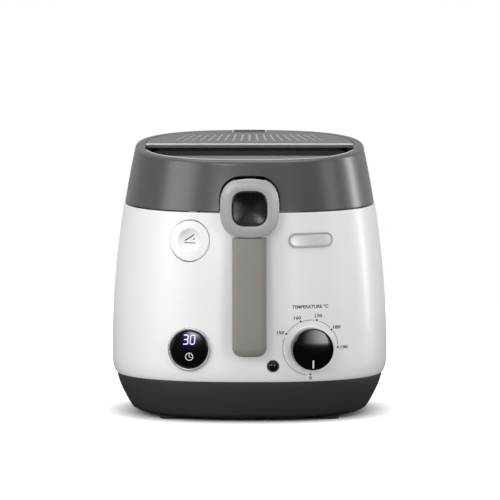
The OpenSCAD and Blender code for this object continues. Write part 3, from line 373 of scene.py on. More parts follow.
def smooth(obj, sharp):
    # smooth shading, broken where two faces meet at more than this many degrees
    mesh = obj.data
    mesh.polygons.foreach_set("use_smooth", np.ones(len(mesh.polygons), bool))
    mesh.set_sharp_from_angle(angle=math.radians(sharp))
    mesh.update()


def combine(obj, shapes, operation="DIFFERENCE", sharp=32):
    # the cutters work on a finished copy of the mesh, and nothing of them is kept
    for shape in shapes:
        cutter = makeObject("cutter", shape)
        step = obj.modifiers.new("cut", "BOOLEAN")
        step.operation, step.solver, step.object = operation, "EXACT", cutter
        cutMesh = bpy.data.meshes.new_from_object(obj.evaluated_get(bpy.context.evaluated_depsgraph_get()))
        obj.modifiers.remove(step)
        bpy.data.objects.remove(cutter)
        obj.data = cutMesh
    smooth(obj, sharp)
    return obj


def finishPiece(obj, body, material, replaces=()):
    # the finish, the body it rides on, its material slot, and the CAD nodes it stands for
    obj.data.materials.clear()
    obj.data.materials.append(material)
    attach(obj, body)
    if replaces:
        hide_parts(*replaces)
    return obj


def piece(name, shapes, body, material, replaces=(), sharp=32, cuts=()):
    # one finished piece from a shape or several, less its cuts
    obj = makeObject(name, merged(shapes) if isinstance(shapes, list) else shapes, sharp)
    if cuts:
        combine(obj, cuts, sharp=sharp)
    return finishPiece(obj, body, material, replaces)


def linear(hexColour):
    # an sRGB colour as linear light
    parts = [int(hexColour[i:i + 2], 16) / 255 for i in (1, 3, 5)]
    return [p / 12.92 if p <= 0.04045 else ((p + 0.055) / 1.055) ** 2.4 for p in parts] + [1.0]


def addNode(tree, kind, values=None, links=None, **settings):
    # one node with its settings, the values of its sockets, and its links as (node, output)
    node = tree.nodes.new("ShaderNode" + kind)
    for key, value in settings.items():
        setattr(node, key, value)
    for key, value in (values or {}).items():
        node.inputs[key].default_value = value
    for key, (source, output) in (links or {}).items():
        tree.links.new(source.outputs[output], node.inputs[key])
    return node


def fromTo(low, high, least, most):
    # the values that carry one range over to another
    return {"From Min": low, "From Max": high, "To Min": least, "To Max": most}


def startMaterial(name, values):
    # a new material, with these values on its shader's own sockets
    material = bpy.data.materials.new(name)
    material.use_nodes = True
    tree = material.node_tree
    shader = tree.nodes["Principled BSDF"]
    for key, value in values.items():
        shader.inputs[key].default_value = value
    return material, tree, shader


def perMm(size):
    return 1000.0 / size  # a pattern of this many mm, on coordinates in metres


def finish(name, tone, toneB, patchMm, roughness, spread, grainMm, bumpMm, stretch=(1, 1, 1),
           metallic=0.0, ior=None, coat=0.0, coatRoughness=0.1, sheen=0.0, transmission=0.0):
    # broad patches shift the colour a little, and a fine grain shifts the gloss and lifts the surface
    values = {"Metallic": metallic, "Coat Weight": coat, "Coat Roughness": coatRoughness,
              "Sheen Weight": sheen, "Transmission Weight": transmission}
    if ior:
        values["IOR"] = ior
    material, tree, shader = startMaterial(name, values)
    where = addNode(tree, "TexCoord")
    mapped = addNode(tree, "Mapping", {"Scale": stretch}, {"Vector": (where, "Object")})
    patches, grain = [addNode(tree, "TexNoise", {"Scale": perMm(size), "Detail": detail},
                              {"Vector": (mapped, "Vector")})
                      for size, detail in ((patchMm, 4.0), (grainMm, 3.0))]
    colour = addNode(tree, "Mix", {6: linear(tone), 7: linear(toneB)}, {0: (patches, "Fac")},
                     data_type="RGBA")
    gloss = addNode(tree, "MapRange", fromTo(0.3, 0.7, roughness - spread, roughness + spread),
                    {"Value": (grain, "Fac")})
    bump = addNode(tree, "Bump", {"Strength": 1.0, "Distance": bumpMm * 0.001}, {"Height": (grain, "Fac")})
    tree.links.new(colour.outputs[2], shader.inputs["Base Color"])
    tree.links.new(gloss.outputs[0], shader.inputs["Roughness"])
    tree.links.new(bump.outputs[0], shader.inputs["Normal"])
    return material


# Each has a name, two tones, patches in mm, roughness and its spread, and the grain and its lift in mm.
# A grain finer than about 0.3 mm would not show, so inks, lacquers and brushing are drawn that coarse.

# gloss-moulded plastic: clean soft highlights over the faintest orange peel
mouldedWhite = finish("mouldedWhiteAbs", "#f3f3f3", "#eeeeee", 90, 0.36, 0.02, 1.6, 0.004,
                      ior=1.5, coat=0.08)
# the same plastic from a glossier mould: a little cooler, with tighter highlights
buttonWhite = finish("mouldedButtonWhite", "#f4f4f5", "#f0f0f1", 40, 0.28, 0.02, 1.2, 0.004, ior=1.53)
# moulded in a spark-eroded tool: a broad dull sheen on a fine texture
texturedCharcoal = finish("texturedCharcoalPp", "#3c3c3e", "#363638", 60, 0.46, 0.05, 0.7, 0.02, ior=1.49)
# satin moulding with metal flake in it: long soft streaks of light
satinLidGrey = finish("satinLidGreyPbt", "#4f4f51", "#49494b", 70, 0.3, 0.03, 0.6, 0.006,
                      ior=1.52, coat=0.15, coatRoughness=0.3)
# the same satin moulding in lighter greys, for the filter cover and the recess
satinCoverGrey = finish("satinCoverGreyPbt", "#68696b", "#646567", 70, 0.36, 0.03, 0.6, 0.006, ior=1.52)
panGrey = finish("satinPanGreyPbt", "#88898b", "#808183", 60, 0.34, 0.03, 0.8, 0.006, ior=1.5)
# painted highlight: a pale grey for the thin line of light that polished edges catch, on the recess bead, the
# cover bead and the tab ends
paintedHighlightEdge = finish("paintedHighlightGreyEdge", "#cfd0d1", "#c8c9ca", 60, 0.26, 0.03, 0.6, 0.003, ior=1.52)
# plain dark mouldings with a soft sheen; the tray's near-black is also painted shade, so that it reads as
# shadow behind the slots
darkTrayAndShade = finish("mouldedDarkTrayAndShade", "#202122", "#1a1b1c", 60, 0.5, 0.03, 0.8, 0.006, ior=1.5)
darkInside = finish("mouldedDarkPan", "#4a4b4d", "#434446", 60, 0.3, 0.03, 0.8, 0.006, ior=1.5)
# silver lacquer sprayed on plastic: fine flakes, soft metallic shading
silverLacquer = finish("silverLacquer", "#b5b5b3", "#adadab", 30, 0.34, 0.04, 0.35, 0.004,
                       stretch=(0.08, 1, 1), metallic=0.12)
# pearl lacquer: pale, with a faint metallic shift
badgePearl = finish("pearlLacquer", "#e8e9eb", "#dfe0e2", 14, 0.32, 0.04, 0.4, 0.004, metallic=0.25)
# soft-touch coating: warm grey with next to no shine, darker on the back half
softTaupe = finish("softTouchTaupe", "#8a8781", "#827f79", 40, 0.5, 0.04, 0.5, 0.008, ior=1.48, sheen=0.08)
softTaupeBack = finish("softTouchTaupeBack", "#75726c", "#6f6c67", 40, 0.55, 0.04, 0.5, 0.008, ior=1.48)
# black plastic from a polished mould: deep black with clear reflections
pianoBlack = finish("polishedBlackAbs", "#030304", "#050506", 50, 0.09, 0.015, 2.0, 0.001, ior=1.5)
# the same black from a finely blasted mould: its reflections are blurred
dishBlack = finish("softGlossBlackAbs", "#060607", "#09090a", 50, 0.27, 0.02, 2.0, 0.001, ior=1.5)
# satin chrome plate: bright, with soft edges to what it mirrors
brightChrome = finish("satinChromeTrim", "#d5d6d8", "#c9cacc", 20, 0.22, 0.03, 0.4, 0.001, metallic=0.6)
# moulded rubber: matt and dark from every side
rubberBlack = finish("mouldedRubber", "#232324", "#1b1b1c", 12, 0.75, 0.06, 0.6, 0.03, ior=1.5)
# pad-printed inks: flat even colour, a little duller than the plastic under them
# the grey is real print on the scale, and painted shade for the grooves of the lid button's icon
greyPrintAndGrooveShade = finish("greyPrintAndPaintedGrooveShade", "#6a6b6d", "#5f6062", 5, 0.5, 0.04, 0.3, 0.002)
darkInk = finish("blackPadPrint", "#1a1b1c", "#222324", 5, 0.5, 0.04, 0.3, 0.002)
whiteInk = finish("whitePadPrint", "#f4f4f2", "#e9e9e7", 5, 0.45, 0.04, 0.3, 0.002)
# rolled and brushed stainless steel: highlights drawn out along the brushing
brushedSteel = finish("brushedStainless", "#c4c5c6", "#b2b3b4", 30, 0.3, 0.07, 0.5, 0.004,
                      stretch=(0.06, 1, 1), metallic=1.0)
# zinc-plated steel: pale bluish metal, faintly mottled
zincSteel = finish("zincPlatedSteel", "#b9bcc0", "#a4a7ab", 6, 0.36, 0.06, 0.8, 0.004, metallic=1.0)
# electroplated wire: bright, with small sharp glints
brightWire = finish("electroplatedWire", "#c9cbcd", "#bfc1c4", 12, 0.2, 0.05, 0.4, 0.004, metallic=1.0)
# rolled aluminium: dull silver with a grain along the rolling
rawAluminium = finish("rolledAluminium", "#c8cacc", "#bbbdbf", 14, 0.42, 0.06, 0.6, 0.005,
                      stretch=(1, 0.1, 1), metallic=1.0)
# steel darkened by heat: a brown bloom over dull metal
heatedSteel = finish("heatDarkenedSteel", "#6e6a66", "#57524e", 12, 0.5, 0.08, 0.6, 0.008, metallic=0.9)
# drawn copper: warm metal with long clean highlights
copperTube = finish("drawnCopper", "#c27c4a", "#a8683c", 10, 0.3, 0.06, 0.5, 0.003, metallic=1.0)
# baked non-stick coating: dark grey with a soft oily sheen
nonStick = finish("bakedNonStick", "#3a3a3c", "#303032", 20, 0.38, 0.05, 0.9, 0.01, ior=1.6)
# moulded silicone: pale grey and slightly waxy
sealGrey = finish("siliconeSeal", "#8f9296", "#86898d", 16, 0.55, 0.04, 0.8, 0.008, ior=1.42)
# moulded nylon: warm cream with a low sheen
gearNylon = finish("mouldedNylon", "#d8d4c0", "#cdc9b4", 10, 0.45, 0.05, 0.7, 0.005, ior=1.53)
# pressed and fired steatite: chalky off-white
ceramicPart = finish("pressedSteatite", "#ded8c8", "#d2ccbb", 8, 0.6, 0.05, 0.5, 0.01, ior=1.6)
# solder mask over a board: glossy green
circuitGreen = finish("solderMaskGreen", "#1f6b3a", "#195a30", 5, 0.35, 0.04, 0.5, 0.004, ior=1.5)
# woven glass-fibre sleeve: dull brick red
wireSleeve = finish("glassFibreSleeve", "#7a2b22", "#8c3329", 3, 0.7, 0.06, 0.5, 0.03)
# felt filled with activated carbon, and needled fleece: fibres that scatter the light, dark and pale
carbonFelt = finish("activatedCarbonFelt", "#3b3c3e", "#2a2b2d", 4, 0.9, 0.05, 0.6, 0.2, sheen=0.2)
paleFleece = finish("needledFleece", "#a6a7a6", "#9b9c9b", 2.5, 0.85, 0.05, 0.5, 0.12, sheen=0.1)
# moulded lens of smoked red plastic: almost black until it is lit, with sharp reflections
lampRed = finish("smokedRedLens", "#151113", "#140b0d", 6, 0.08, 0.02, 2.0, 0.001, ior=1.5)
# tempered smoked glass: dark, clear and mirror-smooth
smokedGlass = finish("smokedTemperedGlass", "#2a2c30", "#24262a", 60, 0.05, 0.02, 30, 0.001,
                     ior=1.52, transmission=0.75)
print("materials ready")


# where the round controls stand on the front wall: across, height, and degrees turned and tipped
controlAt = {"knob": (63.0, 77.5, 9), "timer": (-61.7, 76.5, -9), "lamp": (24.3, 59.4, 3),
             "button": (-62, 188, -16, 7)}
deck = {"down": 5.0, "thick": 2.4, "hole": 114.6}   # the shell's inward ledge under the lid


def buildBody():
    # outside, the half width at each height; inside, that less the wall; rim and foot join the two
    wall, top, baseTop = form["wall"], form["bodyTop"], form["baseTop"]
    low, ledge = baseTop + 0.6, top - deck["down"]
    under = ledge - deck["thick"]
    lip = float(baseWidth(baseTop - 6)) - wall - 0.2
    outerZ, innerZ = np.linspace(low + 1.5, top - 2, 60), np.linspace(under - 1, baseTop + 9, 24)
    start = rounded([(lip, low - 1, 0), (lip, low, 0.2), onWidth(halfWidth, low, 0, 1.2),
                     onWidth(halfWidth, low + 1.6)], closed=False)[:-1]
    rim = rounded([onWidth(halfWidth, top - 1.9), onWidth(halfWidth, top, 0, 1.3),
                   onWidth(halfWidth, top, wall, 0.6), (float(halfWidth(top)) - wall, ledge, 0.8),
                   (deck["hole"], ledge, 0.6), (deck["hole"], under, 0.6),
                   onWidth(halfWidth, under, wall, 0.8), onWidth(halfWidth, ledge - 5, wall)],
                  closed=False)[1:-1]
    foot = np.array([(lip - 1.8, baseTop + 6), (lip - 1.8, baseTop - 6), (lip, baseTop - 6)])
    profile = np.vstack([start, sideRun(halfWidth, outerZ), rim, sideRun(halfWidth, innerZ, wall), foot])
    buttonAt, timerAt, lampAt = [wallFrame(*controlAt[name]) for name in ("button", "timer", "lamp")]
    wallY0 = buttonAt[0][1]
    cuts = [turned([(22.1, -12), (22.1, 18)], buttonAt),
            block((-64.6, wallY0 + 11.5, ledge - 5), (-52.5, wallY0 + 18.4, ledge + 3)),   # for the catch
            turned([(22.6, -12), (22.6, 18)], timerAt), turned([(6.5, -12), (6.5, 18)], lampAt)]
    shell = ovalShell(profile, wrapRows=True)
    piece("bodyShell", shell, "housing", mouldedWhite, ["outer_shell"], cuts=cuts)


base = {"glandUp": 24, "glandHole": 6.7, "feetX": 82, "feetY": 98}


def buildBase():
    # outside, the base's half width at each height; inside, that less the wall, down to a flat floor
    top, foot, wall = form["baseTop"], form["footHeight"], form["wall"]
    outerZ, innerZ = np.linspace(foot + 3.5, top - 1, 22), np.linspace(top - 1, foot + 5.5, 12)
    bottom = rounded([(4, foot, 0), onWidth(baseWidth, foot, 5, 6), onWidth(baseWidth, foot + 3.5)],
                     closed=False)[:-1]
    rim = rounded([onWidth(baseWidth, top - 1), onWidth(baseWidth, top, 0, 0.7),
                   onWidth(baseWidth, top, wall, 0.4), onWidth(baseWidth, top - 1, wall)], closed=False)[1:-1]
    floorEdge = np.array([(float(baseWidth(foot + 3.5)) - wall - 3, foot + 3), (4, foot + 3)])
    inside = sideRun(baseWidth, innerZ, wall)
    tray = ovalShell(np.vstack([bottom, sideRun(baseWidth, outerZ), rim, inside, floorEdge]), 240)
    glandY = float(baseWidth(base["glandUp"])) + form["depthMore"]
    hole = prism(circle(0, base["glandUp"], base["glandHole"], 48), glandY - 12, glandY + 12, 1)
    piece("baseTray", tray, "housing", texturedCharcoal, ["base_tray"], cuts=[hole])
    pad = rounded([(3, 0.6, 0), (8.4, 0.6, 0.3), (8.8, 0, 0.3), (10.4, 0, 0.8), (11, 3.2, 0)], closed=False)
    feet = [turned(pad, (np.array([x, y, 0.0]), np.eye(3)), 64)
            for x in (-base["feetX"], base["feetX"]) for y in (-base["feetY"], base["feetY"])]
    piece("rubberFeet", feet, "housing", rubberBlack, ["rubber_feet"])


buildBody()
buildBase()
print("body and base built")


handleRing = {"middle": 223.7, "half": 30.6, "front": -175.0, "back": -152.5}   # the lid is cut for it
ringMiddle, ringHalf, ringFront, ringBack = [handleRing[k] for k in ("middle", "half", "front", "back")]
lid = {"edge": 4.2, "archGap": 1.1}
recess = {"half": 108.5, "low": 255.0, "middle": -5.0, "back": 7.0, "rimUp": 21.0}
recess["front"] = -(recess["half"] - 0.5 + form["depthMore"] - 1.5)
pane = {"half": 89.0, "front": -81.0, "back": -13.0, "gap": 0.4}

# the recess floor's circle passes its low point, and meets the lid's top plane at the front
sag = recess["rimUp"] + form["lidRise"] * recess["front"]
run = recess["middle"] - recess["front"]
recess["radius"] = (run * run + sag * sag) / (2 * sag)


def panZ(y):
    # the recess floor is part of a wide cylinder along X
    return recess["low"] + recess["radius"] - np.sqrt(recess["radius"] ** 2 - (y - recess["middle"]) ** 2)


def squircleTop(w, low, e=3.2, steps=180):
    # the upper half of a rounded square, closed by straight sides down to a height
    x, z = ovalAt(np.linspace(0, math.pi, steps), w, w, e)
    return np.vstack([np.column_stack([x, ringMiddle + z]), [[-w, low], [w, low]]])


def buildLid():
    # the side follows the lid's half width, turns over on a quarter circle and drops to the opening's ledge
    wall, bottom, top = form["wall"], form["lidBottom"], form["lidTop"]
    edge, half = lid["edge"], recess["half"]
    straight = top - edge
    sideZ, insideZ = np.linspace(bottom + 1.2, straight, 30), np.linspace(straight - 8, bottom + 1, 16)
    turn = np.radians(np.linspace(8, 90, 10))
    edgeW = float(lidWidth(straight)) - edge * (1 - np.cos(turn))
    edgeZ = straight + edge * np.sin(turn)
    opening = rounded([(edgeW[-1] - 0.5, top, 0), (half, top, 1.3), (half, top - 4.5, 0.3),
                       (half + 2.4, top - 4.5, 0.3), (edgeW[-1] + 1, straight, 3),
                       (float(lidWidth(straight - 4)) - wall, straight - 6, 0)], closed=False)
    hem = rounded([onWidth(lidWidth, bottom + 1, wall), onWidth(lidWidth, bottom, wall, 0.5),
                   onWidth(lidWidth, bottom, 0, 0.9), onWidth(lidWidth, bottom + 1.2)], closed=False)[1:-1]
    profile = np.vstack([sideRun(lidWidth, sideZ), np.column_stack([edgeW, edgeZ]), opening,
                         sideRun(lidWidth, insideZ, wall), hem])
    arch = prism(squircleTop(ringHalf + lid["archGap"], 200, e=2.75), -300, -100, 1)
    shell = ovalShell(profile, 320, lidRise(profile[:, 1]), wrapRows=True)
    piece("lidShell", shell, "lid", satinLidGrey, ["lid_shell"], cuts=[arch])


def buildRecess():
    # a floor bent to the cylinder, upright walls on the plan's oval, a straight cross wall, a pane and a bead
    half, low, back, more = recess["half"], recess["low"], recess["back"], form["depthMore"]
    # floor: across, from the plan's front edge to the cross wall, thinned out to nothing at its two ends
    u = np.linspace(-1, 1, 121)
    x = half * np.sin(u * math.pi / 2)
    frontY = ovalFront(x, half)
    y = frontY + np.linspace(0, 1, 60)[:, None] * (back + 1.2 - frontY)
    z = np.minimum(panZ(y), topZ(y) - 0.5)
    thick = 2.2 * np.sqrt(np.clip(1 - np.abs(u) ** 16, 0, 1)) + 0.02
    x = np.broadcast_to(x, y.shape)
    faces = np.concatenate([np.stack([x, y, z], -1), np.stack([x, y, z - thick], -1)[::-1]])
    pan = gridShape(faces, wrapRows=True, wrapCols=False)
    # upright wall round the recess, from that floor up to the rim and down again behind
    t = np.linspace(math.pi, 2 * math.pi, 161)
    rings = []
    for w, order in ((half + 0.1, 1), (half + 2.2, -1)):
        wx, wy = ovalAt(t, w, w + more, form["corner"])
        foot = np.minimum(panZ(np.clip(wy, -126, 10)), topZ(wy) - 0.6) - 2.2
        rings += [np.stack([wx, wy, h], -1) for h in (foot, topZ(wy) - 1.4)[::order]]
    recessWall = gridShape(np.stack(rings), wrapRows=True, wrapCols=False)
    # cross wall under the filter cover, with the small ledge that the cover's lip closes on
    sweep = rounded([(-12, float(panZ(np.array(-12.0))) + 0.2, 0), (3.5, low + 1.2, 9),
                     (back + 4.4, 266.2, 3), (back + 5.6, 265.0, 0.4), (5.5, low - 2, 6), (-12, low - 2, 0)],
                    steps=10)
    crossWall = prism(sweep, -half + 0.4, half - 0.4, 0)
    window = block((-pane["half"], pane["front"], 240), (pane["half"], pane["back"], 290))
    piece("recessPan", pan, "lid", panGrey, cuts=[window])
    piece("recessWalls", [recessWall, crossWall], "lid", panGrey)
    # the pane follows the floor that it is let into
    gap = pane["gap"]
    side = pane["half"] - gap
    gx, gy = np.meshgrid(np.linspace(-side, side, 60),
                         np.linspace(pane["front"] + gap, pane["back"] - gap, 40))
    glass = slab(*[np.stack([gx, gy, panZ(gy) - down], -1) for down in (0.2, 2.3)])
    piece("recessWindow", glass, "lid", smokedGlass, ["viewing_window"])
    # the bead's pale colour is a painted highlight along the recess's front edge
    w = half + 0.9
    rimX, rimY = ovalAt(np.linspace(math.pi + 0.25, 2 * math.pi - 0.25, 141), w, w + more, form["corner"])
    bead = tubeAlong(np.column_stack([rimX, rimY, topZ(rimY) - 0.45]), 0.85, 10)
    piece("recessBead", bead, "lid", paintedHighlightEdge)


def buildKnuckles():
    # round-ended bars on the hinge pins, and small blocks on the cover's pins
    knuckles = []
    for hinge, pin in zip(bothSides(32, 44), bothSides(108.5, 113.5)):
        knuckles += [bar((154.5, 219.5), (143.5, 228.2), 5, *hinge),
                     block((pin[0], 5.5, 269.5), (pin[1], 13.5, 274.4), 0.4)]
    piece("lidKnuckles", knuckles, "lid", satinLidGrey)


cover = {"half": 108.0, "slots": 19, "spread": 78, "slotFront": 39.0, "slotRun": 62, "slotHalf": 1.3,
         "fan": 0.2}


def coverOutline(inset, steps=150):
    # the rear of the lid's oval, closed by a straight front edge with small corners
    w = cover["half"] - inset
    y0 = recess["back"] + inset
    d, e = w + form["depthMore"], form["corner"]
    start = math.asin(min(1, (y0 / d) ** (e / 2)))
    arc = np.column_stack(ovalAt(np.linspace(start, math.pi - start, steps), w, d, e))
    front = np.linspace(arc[-1, 0], arc[0, 0], 60)[1:-1]
    return np.vstack([arc, np.column_stack([front, np.full(len(front), y0)])])


def coverShape(levels):
    # one outline for each (inset, depth under the lid's top plane)
    flats = [(coverOutline(inset), down) for inset, down in levels]
    return gridShape(np.stack([np.column_stack([flat, topZ(flat[:, 1]) - down]) for flat, down in flats]))


def buildCover():
    # a plate with a rolled edge; its slots fan out, each turned by the arctangent of its place across
    plate = coverShape([(3.0, 2.8), (1.4, 2.8), (1.0, 2.4), (1.0, 1.7), (0.3, 1.6), (0.02, 1.3), (0.0, 0.9),
                        (0.12, 0.4), (0.5, 0.1), (1.0, 0.0), (3.0, 0.0)])
    length, cuts = cover["slotRun"], []
    for k in range(cover["slots"]):
        x = cover["spread"] * (2 * k / (cover["slots"] - 1) - 1)
        turn = math.atan(cover["fan"] * x / length)
        direction = np.array([-math.sin(turn), math.cos(turn)])
        a = np.array([x, cover["slotFront"]])
        b = a + direction * length
        side = np.array([direction[1], -direction[0]]) * cover["slotHalf"]
        cuts.append(prism(np.array([a - side, a + side, b + side, b - side]), 262, 292, 2))
    cuts += [block((a, 116.5, 266), (b, 146, 296)) for a, b in bothSides(16.3, 18.7)]
    piece("filterCover", plate, "filter_cover", satinCoverGrey, ["filter_cover"],
          cuts=[merged(cuts)])
    x = recess["half"] - 0.9
    lip = [block((-x, 7.3, 272.7), (x, 9.6, 274.3), 0.3),
           block((-x + 0.6, 9.3, 274.0), (x - 0.6, 10.4, 275.6))]
    piece("coverLip", lip, "filter_cover", satinCoverGrey)
    # the cover's bead is pale as a painted highlight line
    bead = rounded([(6.3, 275.2, 0.5), (6.3, 276.9, 0.9), (10.4, 277.1, 0.9), (10.4, 275.2, 0)])
    piece("coverBead", prism(bead, -x - 0.3, x + 0.3, 0), "filter_cover", paintedHighlightEdge)
    # pale filter fleece, seen through the slots
    gx, gy = np.meshgrid(np.linspace(-84, 84, 40), np.linspace(37, 103, 20))
    sheet = slab(*[np.stack([gx, gy, topZ(gy) - down], -1) for down in (0.45, 1.8)])
    piece("filterFleece", sheet, "filter_cover", paleFleece)
    low, high = topZ(121) - 1.0, topZ(124)
    tab = block((-15.8, 119.2, low), (15.8, 124.6, high + 1.3), 0.4)
    piece("coverTab", tab, "filter_cover", darkInside)
    # the tab's ends are pale as painted highlights
    ends = [block((a, 118.6, low), (b, 124.4, high + 1.5), 0.4) for a, b in bothSides(16.4, 18.4)]
    piece("tabEnds", ends, "filter_cover", paintedHighlightEdge)


buildLid()
buildRecess()
buildKnuckles()
buildCover()
print("lid built")


handle = {"gripWidth": 17.8, "gripEnd": 71.0, "gripThick": 9.5, "endRound": 10.0, "gripCorner": 2.9,
          "bow": 13.5, "holeHalf": 18.0, "sliderHalf": 17.3, "pivot": (-154.5, 242.0)}


def gripShape():
    # ovals stacked from the rounded lower end to the ring; the run bows forwards on its way down
    low, r, under = handle["gripEnd"], handle["endRound"], ringMiddle - ringHalf
    a = np.radians(np.linspace(2, 90, 20))
    z = np.concatenate([low + r * (1 - np.cos(a)), np.linspace(low + r, under - 0.4, 60)[1:]])
    k = np.concatenate([1 - np.sin(a), np.zeros(59)])
    t = (under - z) / (under - low)
    w = handle["gripWidth"] - r * k
    d = handle["gripThick"] - 2 * (1 - t) - 6 * k
    y = ringFront + 7.5 - handle["bow"] * np.sin(np.radians(90 * np.clip(t, 0, 1)))
    angle = np.linspace(0, 2 * math.pi, 96, endpoint=False)[None]
    px, py = ovalAt(angle, w[:, None], d[:, None], handle["gripCorner"])
    return gridShape(np.stack([px, y[:, None] + py, np.broadcast_to(z[:, None], px.shape)], -1))


def buildRing():
    # the face is crowned between the hole and the outer edge, and the plan gets rounder on its way out
    hole, seamY = handle["holeHalf"], ringFront + 4.2
    k = np.linspace(0, 1, 16)
    crown = np.column_stack([hole + 0.8 + (ringHalf - 1.5 - hole) * k,
                             ringFront + 2.6 * (k - 0.25) ** 2 * np.where(k > 0.25, 0.95, 1.2)])
    edge = rounded([(*crown[-1], 0), (ringHalf, ringFront + 2.8, 0.7), (ringHalf, seamY, 0.3),
                    (ringHalf - 1.2, seamY + 0.3, 0), (hole + 0.6, seamY + 0.3, 0), (hole, seamY, 0),
                    (hole, ringFront + 1.6, 0.6), (*crown[0], 0)])
    backSection = rounded([(hole + 0.15, seamY - 0.4, 0), (ringHalf - 0.5, seamY - 0.4, 0.3),
                           (ringHalf - 0.35, ringBack, 1.2), (hole + 0.15, ringBack, 0.6)])
    slot = block((-15, ringFront + 9, 100), (15, 0, 400))
    for name, section, stands in (("ringFace", np.vstack([crown, edge[1:]]), ["handle_ring"]),
                                  ("ringBody", backSection, [])):
        roundness = 3.2 - 0.45 * np.clip((section[:, :1] - hole) / (ringHalf - hole), 0, 1)
        ring = gridShape(squircleGrid(section, ringMiddle, e=roundness), wrapRows=True)
        piece(name, ring, "handle", silverLacquer, stands, cuts=[slot])
    pivotY, pivotZ = handle["pivot"]
    low = ringMiddle - ringHalf
    cheeks = [bar((pivotY, pivotZ), (pivotY - 6, pivotZ), 6.0, a, b) for a, b in bothSides(15.0, 21.5)]
    cheeks.append(block((-19, ringFront + 11.5, low + 13), (19, ringFront + 13.9, low + 36)))
    piece("ringCheeks", cheeks, "handle", darkInside)


def buildGrip():
    # one form, parted into a front and a back along a slanting split
    low = ringMiddle - ringHalf
    split = np.array([[ringFront + 10.5, low + 5], [ringFront - 3, 66], [ringFront + 60, 66],
                      [ringFront + 60, low + 5]])
    piece("handleGrip", gripShape(), "handle", softTaupe, ["handle_grip"],
          cuts=[prism(split, -40, 40, 0)])
    back = makeObject("gripBack", gripShape())
    combine(back, [prism(split + [0.3, 0], -40, 40, 0)], operation="INTERSECT")
    tongue = block((-12, ringFront + 9.2, low - 9), (12, ringFront + 15, low + 11), 0.4)
    combine(back, [tongue], operation="UNION")
    finishPiece(back, "handle", softTaupeBack, ["grip_back"])


def buildSlider():
    # a shallow dish, hollowed by the square of the distance, inside a rounded edge
    w = handle["sliderHalf"]
    k = np.linspace(0.03, 1, 26)
    face = np.column_stack([w * 0.93 * k, ringFront - 0.2 + 1.9 * (1 - k ** 2)])
    edge = rounded([(w * 0.93, ringFront - 0.2, 0), (w, ringFront - 0.6, 1.0), (w, ringFront + 5, 0)],
                   closed=False)
    dish = gridShape(squircleGrid(np.vstack([face, edge[1:]]), ringMiddle))
    piece("handleSlider", dish, "handle_slider", dishBlack, ["handle_slider"], sharp=40)


buildRing()
buildGrip()
buildSlider()
print("handle built")


dial = {"radius": 21.6, "boss": 4.2, "gap": 0.6, "height": 13.0, "edge": 3.4, "crown": 0.9}


def buildKnob():
    # turned profiles; the face is crowned by the square of the distance, inside a rounded edge
    place = wallFrame(*controlAt["knob"])
    r, boss, crown = dial["radius"], dial["boss"], dial["crown"]
    low, inner = boss + dial["gap"], r - dial["edge"]
    high = low + dial["height"]
    rimZ = high + 0.35
    skirt = rounded([(5, -3, 0), (r + 1.7, -3, 0), (r + 1.7, boss, 1.4), (r - 1.5, boss, 0.3),
                     (5, boss - 0.3, 0)], closed=False)
    piece("knobSkirt", turned(skirt, place, 160), "housing", mouldedWhite)
    side = rounded([(5, low, 0), (r - 0.4, low, 0.4), (r, low + 1, 0.5), (r, high, 2.6), (inner, rimZ, 1.2)],
                   closed=False, steps=8)
    k = np.linspace(1, 0.05, 16)
    face = np.column_stack([inner * k, rimZ + crown * (1 - k ** 2)])
    piece("temperatureKnob", turned(np.vstack([side, face]), place, 160), "knob", pianoBlack,
          ["temperature_knob"], sharp=50)

    def bulge(q):
        drop = 2.2 * np.clip((q - inner) / dial["edge"], 0, 1) ** 2.5
        return rimZ + crown * (1 - np.clip(q / inner, 0, 1) ** 2) - drop

    line = np.column_stack([np.zeros(18), -np.linspace(11.2, r - 0.7, 18)])
    piece("knobPointer", stroke(line, 1.5, onPlace(place, bulge), 0.1, 0.5), "knob", whiteInk)


scale = {
    "x": 62.8, "z": 78.0, "radius": 28.5,
    "arcs": [(262, 156), (144.8, 114.4), (107.2, 80), (73, 44), (36.4, 4)],    # degrees from and to
    "dots": [(-90, 0.8), (150.4, 0.7), (110.7, 0.6), (76.5, 0.6), (40.2, -0.5), (0, -0.6)],   # degrees, lift
    # words, middle across and up, height, width
    "words": [("150", 32.0, 94.1, 3.5, 7.4), ("160", 49.5, 109.1, 3.5, 7.4), ("170", 71.3, 110.5, 3.5, 7.4),
              ("180", 90.2, 98.2, 3.5, 7.4), ("190", 97.8, 76.9, 3.5, 7.4), ("0", 63.0, 46.4, 3.5, 2.6),
              ("TEMPERATURE °C", 62.6, 120.4, 3.6, 37.3)],
}


def buildScale():
    # thin prints laid on the wall: arcs round the knob, a dot at each stop, and the words
    cx, cz, r = scale["x"], scale["z"], scale["radius"]
    arcs = []
    for t in [np.radians(np.linspace(a, b, 40)) for a, b in scale["arcs"]]:
        arcs.append(stroke(np.column_stack([cx + r * np.cos(t), cz + r * np.sin(t)]), 0.5, onWall, 0.06, 0.3))
    piece("scaleArc", arcs, "housing", greyPrintAndGrooveShade)
    printed = []
    for degrees, lift in scale["dots"]:
        a = np.radians(degrees)
        u, v = cx + r * math.cos(a), cz + r * math.sin(a) + lift
        rings = [onWall(*circle(u, v, q, 24).T, np.full(24, h))
                 for q, h in ((1.05, -0.3), (1.05, 0.08), (0.1, 0.08))]
        printed.append(gridShape(np.stack(rings)))
    printed += [lettering(text, onWall, u, v, high, wide, 0.06) for text, u, v, high, wide in scale["words"]]
    piece("scalePrint", printed, "housing", darkInk, sharp=20)


timer = {
    "radius": 19.4, "out": 4.8, "rim": 0.97, "crown": 1.7,   # rim: where the crowned face starts, as a share
    "digitMiddle": 9.5, "digitLine": 1.0, "iconMiddle": -7.5, "iconRadius": 3.75,
    "glass": "#050508", "glow": "#5a3cf0", "glowFrom": 0.004, "glowTo": 0.0125, "glowPower": 0.035,
}


